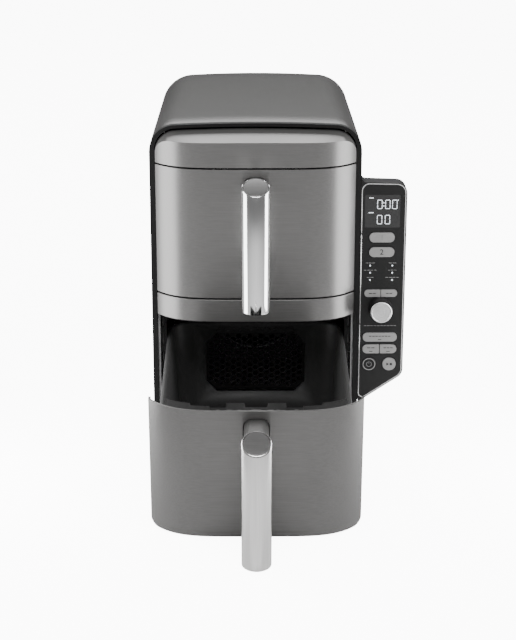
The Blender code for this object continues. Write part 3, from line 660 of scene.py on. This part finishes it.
def drawer_backing(prefix):
    """Black moulding inside the bow: a low deck, castellated ledges and small ribs along the top edge, the ribs
    painted lighter grey as a painted highlight.
    """
    body, place = prefix + "_drawer", FRONT[prefix]
    inset = 0.0028
    top = FRONT_HEIGHT - 0.014
    outer = bow_curve(inset)
    flat = [(across, 0.0075) for across, _ in outer]
    name = f"fine_{prefix}_backing"
    mesh = strip_mesh(name, outer, flat, foot_line(prefix, inset, 0.0015), top)
    make(name, mesh, place, body, "black_plastic", [prefix + "_drawer_backing"])
    ledge_top = FRONT_HEIGHT - LEDGE_DROP
    spans = (
        ("middle", -0.0300, 0.0300, ((-0.0300, -0.0115), (0.0105, 0.0300)), 0.0080, 0.0178),
        ("left", -0.0910, -0.0465, ((-0.0910, -0.0665),), 0.0105, 0.0155),
        ("right", 0.0465, 0.0910, ((0.0665, 0.0910),), 0.0105, 0.0155),
    )
    for side, start, end, teeth, shallow, deep in spans:
        plan = ledge_plan(start, end, teeth, inset, shallow, deep)
        ledge = prism(f"{prefix}_ledge_{side}", [plan], ledge_top - LEDGE_DEPTH, LEDGE_DEPTH, "black_plastic",
                      (), (body, place), "Z")
        bevelled(ledge, 0.0005, 2)
    ribs = ((-0.038, 0.0030), (-0.0265, 0.0050), (-0.0167, 0.0035), (0.0, 0.0100), (0.0145, 0.0050),
            (0.0215, 0.0030), (0.0400, 0.0030))
    for index, (across, width) in enumerate(ribs):
        along = bow_at(across / FRONT_HALF) + inset
        half = width / 2
        outline = rectangle(across - half, across + half, along, along + 0.0020, 0)
        # the ribs take the lighter grey: painted highlight for glints on black moulding
        rib = prism(f"{prefix}_rib_{index}", [outline], ledge_top - 0.001, 0.0016, "rib_painted_highlight",
                    (), (body, place), "Z")
        bevelled(rib, 0.0003, 2)


def ledge_plan(start, end, teeth, inset, shallow, deep, steps=40):
    """Plan of a ledge that follows the bow in front and steps back behind each tooth."""
    half = FRONT_HALF - inset
    front, rear = [], []
    for step in range(steps + 1):
        across = start + (end - start) * step / steps
        along = bow_at(across / half, inset)
        in_tooth = any(low <= across <= high for low, high in teeth)
        front.append((across, along))
        rear.append((across, along + (deep if in_tooth else shallow)))
    return front + rear[::-1]


TUB_LOW, TUB_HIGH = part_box("upper_basket")
BASKET_RIM = TUB_HIGH.z - GLIDES["upper"].z
BASKET_FLOOR = TUB_LOW.z - GLIDES["upper"].z
BASKET_LIP = 0.003
BASKET_HALF = (TUB_HIGH.x - TUB_LOW.x) / 2 - BASKET_LIP
BASKET_FRONT = TUB_LOW.y - GLIDES["upper"].y + BASKET_LIP
BASKET_BACK = TUB_HIGH.y - GLIDES["upper"].y - BASKET_LIP
BASKET_WALL = 0.0012
SOFT_EDGE = 0.006


def tub_row(half, front, back, radius, up):
    return [(across, along, up) for across, along in rectangle(-half, half, front, back, radius)]


def basket(prefix):
    """A drafted tub with a soft floor edge, a rolled lip and a honeycomb of holes in its rear wall."""
    body, place = prefix + "_drawer", DRAWER[prefix]
    draft = 0.006
    rows = []
    for step in range(5):
        angle = math.pi / 2 * step / 4
        pull = SOFT_EDGE * (1 - math.sin(angle))
        up = BASKET_FLOOR + SOFT_EDGE * (1 - math.cos(angle))
        rows.append(tub_row(BASKET_HALF - draft - pull, BASKET_FRONT + draft + pull - 0.002,
                            BASKET_BACK - draft - pull, 0.018 - pull, up))
    for share in (0.5, 1.0):
        pull = draft * (1 - share)
        rows.append(tub_row(BASKET_HALF - pull, BASKET_FRONT + pull, BASKET_BACK - pull,
                            0.018 + 0.004 * share,
                            BASKET_FLOOR + SOFT_EDGE + (BASKET_RIM - BASKET_FLOOR - 0.0075) * share))
    for out, drop in ((0.0006, 0.0004), (0.0016, 0.0), (0.0026, 0.0003), (0.003, 0.0012)):
        rows.append(tub_row(BASKET_HALF + out, BASKET_FRONT - out, BASKET_BACK + out, 0.022 + out,
                            BASKET_RIM - drop))
    mesh = loft_mesh(f"fine_{prefix}_basket", rows, caps=1)
    tub = make(f"fine_{prefix}_basket", mesh, place, body, "dark_coating", [prefix + "_basket"], 40)
    floor = min(mesh.polygons, key=lambda face: face.center.z)
    thicken(tub, BASKET_WALL, floor.normal.z < 0)
    opening = prism_mesh("panel_opening", [octagon(-0.0015)], BASKET_BACK - 0.02, 0.04)
    cut(tub, opening, place)
    hexagon_panel(prefix, draft)


PANEL_MID_Z, FIELD_HALF_X, FIELD_HALF_Z, FIELD_CHAMFER = 0.0665, 0.0580, 0.0375, 0.012


def octagon(grow=0.0):
    """Outline of the perforated panel, a rectangle with its corners cut off."""
    half_x, half_z, chamfer = FIELD_HALF_X + grow, FIELD_HALF_Z + grow, FIELD_CHAMFER
    quarter = [(half_x, half_z - chamfer), (half_x - chamfer, half_z)]
    right = quarter + [(-x, z) for x, z in reversed(quarter)]
    points = right + [(-x, -z) for x, z in right]
    return [(x, z + PANEL_MID_Z) for x, z in points]


def hexagon_panel(prefix, draft):
    """A flat honeycomb panel that leans with the drafted rear wall, under a zigzag rib; its coating is a darker
    copy of the nonstick, painted shade for the back of the deep cavity.
    """
    lean = math.atan2(draft, BASKET_RIM - BASKET_FLOOR - SOFT_EDGE)
    hinge = Vector((0, BASKET_BACK - BASKET_WALL - 0.0002, BASKET_RIM))
    turned = Matrix.Translation(hinge) @ Matrix.Rotation(lean, 4, "X")
    ride = (prefix + "_drawer", DRAWER[prefix] @ turned @ Matrix.Translation((0, 0, -BASKET_RIM)))
    pitch, radius = 0.00735, 0.0034
    limit = FIELD_HALF_X + FIELD_HALF_Z - FIELD_CHAMFER - 0.006

    def inside(across, up):
        away = abs(up - PANEL_MID_Z)
        near = abs(across) < FIELD_HALF_X - 0.003 and away < FIELD_HALF_Z - 0.004
        return near and abs(across) + away < limit

    holes = hexagon_field(19, 12, radius, pitch, PANEL_MID_Z - 5.75 * pitch, inside)
    name = prefix + "_basket_honeycomb"
    # the panel takes the darker copy of the nonstick coating: painted shade
    prism(name, [octagon(), *holes], -0.0004, 0.0016, "honeycomb", ride=ride, smooth=0)
    teeth = 15
    upper, lower = [], []
    for index in range(teeth):
        across = -0.045 + 0.090 * index / (teeth - 1)
        level = 0.1092 if index % 2 else 0.1050
        upper.append((across, level + 0.0007))
        lower.append((across, level - 0.0007))
    name = prefix + "_basket_zigzag"
    prism(name, [upper + lower[::-1]], -0.0014, 0.0014, "dark_coating", ride=ride, smooth=0)


def crisper(prefix):
    """Slotted plate with a skirt under its edge."""
    node = prefix + "_crisper_plate"
    low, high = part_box("upper_crisper_plate")
    pivot = GLIDES["upper"]
    low, high = low - pivot, high - pivot
    outline = rectangle(low.x, high.x, low.y, high.y, 0.010)
    slots = []
    for row in range(7):
        along = low.y + 0.020 + row * (high.y - low.y - 0.040) / 6
        for column in (-1.5, -0.5, 0.5, 1.5):
            across = column * 0.036
            slots.append(block(across, along, 0.013, 0.003, 0.00299, 4))
    ride = (prefix + "_crisper", DRAWER[prefix])
    plate = prism(f"fine_{node}", [outline, *slots], high.z - 0.002, 0.002, "dark_coating", [node], ride, "Z")
    bevelled(plate, 0.0006, 2)
    inner = rectangle(low.x + 0.0016, high.x - 0.0016, low.y + 0.0016, high.y - 0.0016, 0.0084)
    prism(prefix + "_crisper_skirt", [outline, inner], low.z, high.z - low.z - 0.0019, "dark_coating",
          (), ride, "Z")


def handle(prefix):
    """A tube with a slanted, bright-edged top, a cap set in it and two stems that enter the front."""
    body, place = prefix + "_drawer", FRONT[prefix]
    low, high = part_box("upper_handle_bar")
    radius = (high.x - low.x) / 2
    along = (low.y + high.y) / 2 - FACE_Y
    bottom = low.z - FRONT_LOW.z
    cap_low, cap_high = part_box("upper_handle_cap")
    slant = math.atan2(cap_high.z - cap_low.z - 0.0014, 2 * radius)
    top = (cap_low.z + cap_high.z) / 2 + 0.0007 - FRONT_LOW.z
    # the lower handle takes the darker copy of the same metal: painted shade, not a brushed finish
    look = "handle_metal_lit_copy" if prefix == "upper" else "brushed_metal"

    def rows_of(profile, sides=96):
        rows = []
        for size, up, sheared in profile:
            row = []
            for across, forward in ring(0, 0, size, sides):
                row.append((across, along + forward, up + (forward * math.tan(slant) if sheared else 0)))
            rows.append(row)
        return rows

    bar = [
        (radius - 0.0030, bottom + 0.0006, False), (radius - 0.0022, bottom, False),
        (radius - 0.0006, bottom, False), (radius - 0.0001, bottom + 0.0004, False),
        (radius, bottom + 0.001, False), (radius, top - 0.0016, True), (radius - 0.0003, top - 0.0006, True),
        (radius - 0.0010, top - 0.0001, True), (radius - 0.0014, top - 0.0001, True),
        (radius - 0.0015, top - 0.0006, True), (radius - 0.0015, top - 0.0022, True),
    ]
    name = f"fine_{prefix}_handle_bar"
    make(name, settled(loft_mesh(name, rows_of(bar)), place), WORLD, body, look, [prefix + "_handle_bar"], 35)
    size = radius - 0.0018
    cap = [(size, top - 0.0021, True), (size, top - 0.0006, True), (size - 0.0003, top - 0.0002, True),
           (size - 0.0008, top - 0.0001, True)]
    name = f"fine_{prefix}_handle_cap"
    mesh = settled(loft_mesh(name, rows_of(cap)), place)
    make(name, mesh, WORLD, body, "cap_grey", [prefix + "_handle_cap"], 35)
    for where in ("top", "bottom"):
        stem_low, stem_high = stem_levels(where)
        half = STEM_WIDTH / 2
        outline = rectangle(-half, half, stem_low, stem_high, STEM_RADIUS)
        stem = prism(f"fine_{prefix}_stem_{where}", [outline], along, -BOW + 0.0026 - along, "cap_grey",
                     [f"{prefix}_handle_stem_{where}"], (body, place))
        size = radius + 0.0001
        seat = turned_mesh("seat", [(size, stem_low - 0.01), (size, stem_high + 0.01)], 96)
        cut(stem, seat, place @ Matrix.Translation((0, along, 0)))


# ---- control panel

PANEL_LOW, PANEL_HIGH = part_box("panel_face")
PANEL_X = middle_of("display_window").x - CENTRE_X
PANEL_LEFT = PANEL_LOW.x - CENTRE_X
PANEL_RIGHT = PANEL_HIGH.x - CENTRE_X
PANEL_FILLET = 0.0055
PANEL_SLOPE = 0.0015
PANEL_OUTER_FOOT = 0.0985
HOUSING_WALL = 0.0025
MARK_DEPTH = 0.00012
TRIM_HALF = 0.00045
PANEL_TOP = PANEL_HIGH.z - PANEL_FILLET - PANEL_SLOPE
PANEL_FOOT = PANEL_LOW.z


def panel_outline(steps=10):
    """The panel's front view: a fillet up to the body, a round top corner and a slanted foot."""
    left, right = PANEL_LEFT, PANEL_RIGHT
    fillet = PANEL_FILLET
    join = [(left, PANEL_TOP + fillet + PANEL_SLOPE)]
    for step in range(1, steps):
        angle = math.pi + math.pi / 2 * step / steps
        join.append((left + fillet + fillet * math.cos(angle), PANEL_TOP + fillet + fillet * math.sin(angle)))
    corners = [(right, PANEL_TOP - PANEL_SLOPE, 0.0115), (right, PANEL_OUTER_FOOT, 0.012),
               (left, PANEL_FOOT, 0.001)]
    rest = rounded_outline([(left + fillet, PANEL_TOP, 0), *corners], steps)
    return (join + rest[1:])[::-1]


def housing_pocket():
    """Outline of the hollow behind the panel, which gives the buttons room to move."""
    wall = HOUSING_WALL
    left, right, top = PANEL_LEFT + wall, PANEL_RIGHT - wall, PANEL_TOP - wall
    low = [(left, PANEL_FOOT + 2.2 * wall, 0.001), (right, PANEL_OUTER_FOOT + 0.5 * wall, 0.0095)]
    return rounded_outline([*low, (right, top, 0.009), (left, top, 0.003)])


def trim_corners(grow):
    """The silver line's outline, (across, up, radius), grown outwards."""
    left, right = PANEL_LEFT + 0.0007 - grow, PANEL_RIGHT - 0.0018 + grow
    return [
        (left, PANEL_FOOT + 0.0026 - grow * 1.9, 0.0045 + grow),
        (right, 0.0994 - grow * 0.53, 0.0105 + grow),
        (right, PANEL_TOP - 0.0025 + grow, 0.0097 + grow),
        (left, PANEL_TOP - 0.0015 + grow, 0.0080 + grow),
    ]


def button_outline(node, grow=0.0):
    low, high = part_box(node)
    left, right = low.x - CENTRE_X - grow, high.x - CENTRE_X + grow
    bottom, top = low.z - grow, high.z + grow
    round_end, flat_end = (top - bottom) * 0.48, 0.0008 + grow
    ends = (round_end, round_end)
    if node in ("temperature_button", "sync_button"):
        ends = (round_end, flat_end)
    if node in ("time_button", "match_button"):
        ends = (flat_end, round_end)
    corners = [(left, bottom, ends[0]), (right, bottom, ends[1]), (right, top, ends[1]), (left, top, ends[0])]
    return rounded_outline(corners, 10)


BUTTONS = ("zone_one_button", "zone_two_button", "temperature_button", "time_button", "stack_button",
           "match_button", "sync_button", "power_button", "start_button")


def flat_mark(name, outlines, look, body="cabinet", front=-MARK_DEPTH, depth=MARK_DEPTH):
    prism(name, outlines, front, depth, look, (), (body, BODY), smooth=0)


def panel():
    low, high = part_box("dial_knob")
    dial = (PANEL_X, (low.z + high.z) / 2)
    holes = [button_outline(node, 0.00035) for node in BUTTONS]
    window_low, window_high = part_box("display_window")
    left, right = window_low.x - CENTRE_X, window_high.x - CENTRE_X
    window = rectangle(left, right, window_low.z, window_high.z, 0.0020)
    gap = 0.0002
    window_hole = rectangle(left - gap, right + gap, window_low.z - gap, window_high.z + gap, 0.0022)
    outlines = [panel_outline(), *holes, window_hole, ring(*dial, 0.004)]
    bevelled(prism("fine_panel_face", outlines, 0, 0.003, "black_satin", ["panel_face"]), 0.0003, 2)
    prism("fine_display_window", [window], 0.0002, 0.0022, "black_gloss", ["display_window"], smooth=0)
    housing_low, housing_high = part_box("panel_housing")
    start, depth = housing_low.y - FACE_Y, housing_high.y - housing_low.y
    housing = prism("fine_panel_housing", [panel_outline()], start, depth, "black_plastic", ["panel_housing"])
    bevelled(housing, 0.0018, 4, 50)
    cut(housing, prism_mesh("pocket", [housing_pocket()], start - 0.01, depth - HOUSING_WALL + 0.01), BODY)
    line = [rounded_outline(trim_corners(grow), 12) for grow in (TRIM_HALF, -TRIM_HALF)]
    trim = prism("panel_trim_line", line, -0.00025, 0.0004, "silver_line")
    edge = PANEL_LEFT + 0.0007
    for up in (0.2620, 0.1580):
        break_mesh = prism_mesh("trim_gap", [block(edge, up, 0.004, 0.0009, 0)], -0.005, 0.01)
        cut(trim, break_mesh, BODY)
    for node in BUTTONS:
        button_low, button_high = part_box(node)
        start, depth = button_low.y - FACE_Y, button_high.y - button_low.y
        look = "black_satin" if node == "power_button" else "button_grey"
        outline, ride = button_outline(node), (node + "_cap", BODY)
        bevelled(prism("fine_" + node, [outline], start, depth, look, [node], ride), 0.0004, 3)
    dial_knob(dial)
    display_digits(left, window_high.z)
    panel_marks(dial)


def dial_knob(dial):
    """A turned knob with a brushed face and a bright edge, in a black sleeve with a flared foot."""
    low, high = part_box("dial_knob")
    length = FACE_Y - low.y
    profile = [(0.003, -0.0028), (0.003, 0.0005), (0.0130, 0.0005), (0.0134, 0.0009), (0.0130, 0.0016),
               (0.0122, 0.0030), (0.0121, length - 0.0012), (0.0117, length - 0.0004), (0.0110, length),
               (0.0104, length), (0.0101, length - 0.0003), (0.0015, length - 0.0003)]
    place = BODY @ Matrix.Translation((dial[0], 0, dial[1])) @ Matrix.Rotation(math.pi / 2, 4, "X")
    knob = turned_mesh("fine_dial_knob", profile, 96)
    make("fine_dial_knob", knob, place, "dial", "dial_metal", ["dial_knob"], 35)
    sleeve = [(0.0131, 0.0004), (0.0135, 0.0009), (0.0131, 0.0017), (0.0124, 0.0032),
              (0.0124, length - 0.0019), (0.01225, length - 0.0016)]
    make("dial_sleeve", turned_mesh("dial_sleeve", sleeve, 96), place, "dial", "black_satin", smooth=35)


def segment_outline(across, up, length, thick, upright):
    """One pointed bar of a digit."""
    half, side = length / 2, thick / 2
    points = [(-half, 0), (-half + side, -side), (half - side, -side), (half, 0), (half - side, side),
              (-half + side, side)]
    if upright:
        points = [(y, x) for x, y in points][::-1]
    return [(across + x, up + y) for x, y in points]


def zero_segments(across, up, width, height):
    """The six bars of a seven-segment nought, round its middle."""
    thick, gap = 0.00065, 0.00025
    half = height / 4
    bars = [(0, height / 2, width - gap, False), (0, -height / 2, width - gap, False)]
    for side in (-1, 1):
        bars += [(side * width / 2, rise, height / 2 - gap, True) for rise in (half, -half)]
    return [segment_outline(across + x, up + y, length, thick, upright) for x, y, length, upright in bars]


def display_digits(left, top):
    """0:00 over 00, with unlettered marks beside them."""
    outlines = []
    row = top - 0.0107
    for across in (0.0163, 0.0249, 0.0325):
        outlines += zero_segments(left + across, row, 0.0050, 0.0096)
    for up in (0.0018, -0.0018):
        outlines.append(ring(left + 0.0206, row + up, 0.0006, 12))
    row = top - 0.0278
    for across in (0.0163, 0.0249):
        outlines += zero_segments(left + across, row, 0.0050, 0.0096)
    for index, outline in enumerate(outlines):
        flat_mark(f"display_bar_{index}", [outline], "lit", front=0, depth=0.0002)
    marks = ((0.0070, 0.0035, 0.0050), (0.0070, 0.0200, 0.0056), (0.0362, 0.0060, 0.0012))
    for index, (across, up, width) in enumerate(marks):
        outline = block(left + across, top - up, width / 2, 0.0004, 0.0003, 2)
        flat_mark(f"display_mark_{index}", [outline], "lit", front=0, depth=0.0002)


def dashes(across, up, width, height=0.0006):
    """Outlines of short bars in a row, in place of a word."""
    count = max(1, round(width / 0.0035))
    gap = 0.0007
    length = (width - gap * (count - 1)) / count
    found = []
    for index in range(count):
        left = across - width / 2 + index * (length + gap)
        found.append(rectangle(left, left + length, up - height / 2, up + height / 2, height * 0.4, 3))
    return found


def digit_mesh(name, text, size, where):
    """A plain number, flattened to a mesh."""
    words = bpy.data.curves.new(name, "FONT")
    words.body = text
    words.size = size
    words.extrude = 0.00006
    words.align_x = "CENTER"
    words.align_y = "CENTER"
    mesh = mesh_of(words)
    mesh.transform(Matrix.Translation(where) @ Matrix.Rotation(math.pi / 2, 4, "X"))
    return mesh


def panel_marks(dial):
    """Indicator lights, unlettered label bars, numbers and symbols."""
    for row, up in enumerate((0.2259, 0.2176, 0.2093)):
        for side, across in (("left", PANEL_X - 0.0123), ("right", PANEL_X + 0.0121)):
            flat_mark(f"light_{side}_{row}", [ring(across, up, 0.00085, 24)], "lit", depth=0.0002)
            width = (0.0105, 0.0140, 0.0075)[row] if side == "left" else (0.0085, 0.0095, 0.0150)[row]
            flat_mark(f"label_{side}_{row}", dashes(across, up + 0.0030, width), "mark_light")
    proud = -(FACE_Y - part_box("zone_one_button")[0].y)
    for node, text in (("zone_one_button", "1"), ("zone_two_button", "2")):
        mesh = digit_mesh(f"number_{text}", text, 0.0086, (PANEL_X, proud - MARK_DEPTH, middle_of(node).z))
        look = "mark_dark" if text == "2" else "mark_faint"
        make(f"number_{text}", mesh, BODY, node + "_cap", look, smooth=0)
    marks = (("temperature_button", 0.0080, 0), ("time_button", 0.0070, 0),
             ("stack_button", 0.0240, 0.0012), ("sync_button", 0.0085, 0.0014), ("match_button", 0.0105,
                                                                                 0.0014))
    for node, width, rise in marks:
        centre = middle_of(node) - BODY.translation
        outlines = dashes(centre.x, centre.z + rise, width, 0.0008)
        if rise:
            outlines += dashes(centre.x, centre.z - 0.0028, 0.0040, 0.0007)
        for index, outline in enumerate(outlines):
            flat_mark(f"{node}_mark_{index}", [outline], "mark_dark", node + "_cap", proud - MARK_DEPTH)
    flat_mark("dial_label", dashes(PANEL_X, 0.1560, 0.0360), "mark_light")
    centre = middle_of("power_button") - BODY.translation
    rim = [ring(centre.x, centre.z, 0.0071), ring(centre.x, centre.z, 0.0062)]
    flat_mark("power_rim", rim, "button_grey", "power_button_cap", proud - 0.0003, 0.0004)
    arc = arc_band(centre.x, centre.z, 0.0028, 0.0006, math.radians(120), math.radians(420))
    flat_mark("power_arc", [arc], "mark_light", "power_button_cap", proud - 0.00015)
    stroke = block(centre.x, centre.z + 0.0022, 0.0003, 0.0016, 0.00024, 2)
    flat_mark("power_stroke", [stroke], "mark_light", "power_button_cap", proud - 0.00015)
    centre = middle_of("start_button") - BODY.translation
    triangle = [(centre.x - 0.0030, centre.z - 0.0017), (centre.x, centre.z),
                (centre.x - 0.0030, centre.z + 0.0017)]
    flat_mark("start_triangle", [triangle], "mark_dark", "start_button_cap", proud - MARK_DEPTH)
    square = rectangle(centre.x + 0.0007, centre.x + 0.0033, centre.z - 0.0013, centre.z + 0.0013, 0.0002, 2)
    flat_mark("start_square", [square], "mark_dark", "start_button_cap", proud - MARK_DEPTH)


def arc_band(across, up, radius, thick, start, end, steps=40):
    """Outline of part of a ring."""
    angles = [start + (end - start) * i / steps for i in range(steps + 1)]
    outer, inner = [
        [(across + reach * math.cos(a), up + reach * math.sin(a)) for a in angles]
        for reach in (radius + thick / 2, radius - thick / 2)
    ]
    return outer + inner[::-1]


def dial_material():
    """Turned metal: the grain runs in rings round the knob's own axis."""
    made, nodes, links, shader = shader_of("dial_turned")
    place = nodes.new("ShaderNodeTexCoord")
    split = nodes.new("ShaderNodeSeparateXYZ")
    links.new(place.outputs["Object"], split.inputs["Vector"])
    flat = nodes.new("ShaderNodeCombineXYZ")
    links.new(split.outputs["X"], flat.inputs["X"])
    links.new(split.outputs["Y"], flat.inputs["Y"])
    length = nodes.new("ShaderNodeVectorMath")
    length.operation = "LENGTH"
    links.new(flat.outputs["Vector"], length.inputs[0])
    texture = nodes.new("ShaderNodeTexNoise")
    texture.noise_dimensions = "1D"
    texture.inputs["Scale"].default_value = 4000
    links.new(length.outputs["Value"], texture.inputs["W"])
    fac = texture.outputs["Fac"]
    links.new(tint(nodes, links, fac, grey(0.62), grey(0.78)), shader.inputs["Base Color"])
    links.new(spread(nodes, links, fac, 0.24, 0.36), shader.inputs["Roughness"])
    links.new(bump(nodes, links, fac, 0.15, 0.00003), shader.inputs["Normal"])
    fill(shader, {"Metallic": 1.0, "Anisotropic": 0.8})
    around = nodes.new("ShaderNodeTangent")
    around.direction_type = "RADIAL"
    around.axis = "Z"
    links.new(around.outputs["Tangent"], shader.inputs["Tangent"])
    return made


LOOK["dial_metal"] = dial_material()


# ---- CAD nodes that stay


def dress_remaining():
    """Every CAD node that still shows gets its procedural finish; the feet, base plate, cord gland and fan motors
    also get softened edges.
    """
    slots = {part["node"]: part["material_slot"] for part in frame["record"]["subparts"]}
    for name, node in frame["nodes"].items():
        if node.hide_render:
            continue
        node.data.materials.clear()
        node.data.materials.append(LOOK[slots[name]])
        if name.startswith("foot_") or name in ("base_plate", "cord_gland") or name.endswith("_fan_motor"):
            bevelled(node, 0.0008, 3)


# ---- stage, light and camera


def stage():
    """A plain pale floor that the camera sees brighter than the fryer does, like an overlit white sweep."""
    bpy.ops.mesh.primitive_plane_add(size=120, location=(0, 0, 0))
    floor = bpy.context.object
    floor.name = "floor"
    made, nodes, links, shader = shader_of("floor_pale")
    fill(shader, {"Base Color": (0.80, 0.80, 0.80, 1), "Roughness": 1.0, "Specular IOR Level": 0.0,
                  "Emission Color": (1, 1, 1, 1)})
    path = nodes.new("ShaderNodeLightPath")
    scale = nodes.new("ShaderNodeMath")
    scale.operation = "MULTIPLY"
    scale.inputs[1].default_value = 10.0
    links.new(path.outputs["Is Camera Ray"], scale.inputs[0])
    links.new(scale.outputs["Value"], shader.inputs["Emission Strength"])
    floor.data.materials.append(made)


def area_light(name, where, target, size, power):
    data = bpy.data.lights.new(name, "AREA")
    data.shape = "RECTANGLE"
    data.size, data.size_y = size
    data.energy = power
    made = linked(name, data)
    made.visible_camera = False
    made.location = where
    made.rotation_euler = (Vector(target) - Vector(where)).to_track_quat("-Z", "Y").to_euler()


def lights():
    world = bpy.data.worlds.new("studio")
    bpy.context.scene.world = world
    world.use_nodes = True
    background = world.node_tree.nodes["Background"]
    fill(background, {"Color": (1, 1, 1, 1), "Strength": 0.27})
    for name, side in (("left_softbox", -0.40), ("right_softbox", 0.40)):
        area_light(name, (side, -0.09, 0.37), (0, -0.09, 0.37), (0.25, 0.70), 4.2)
    area_light("top_softbox", (0, 1.6, 1.75), (0, 0, 0.2), (2.2, 0.9), 34)
    area_light("floor_wash", (0, -1.15, 1.50), (0, -1.15, 0), (1.2, 0.8), 22)


def camera():
    data = bpy.data.cameras.new("camera")
    data.lens = 94.36
    data.sensor_width = 36
    made = linked("camera", data)
    made.location = BODY.translation + Vector((-0.0053, -1.7688, 0.7581))
    made.rotation_euler = (math.radians(71.40), 0, -0.0045)
    data.clip_start, data.clip_end = 0.05, 200
    bpy.context.scene.camera = made


# ---- assembly

camera()
lights()
stage()
outer_shell()
front_bezel()
middle_band()
hood_fascia()
side_trims()
rear_cover()
for prefix in ("upper", "lower"):
    cavity(prefix)
    drawer_front(prefix)
    drawer_backing(prefix)
    basket(prefix)
    crisper(prefix)
    handle(prefix)
panel()
dress_remaining()

bpy.context.view_layer.update()
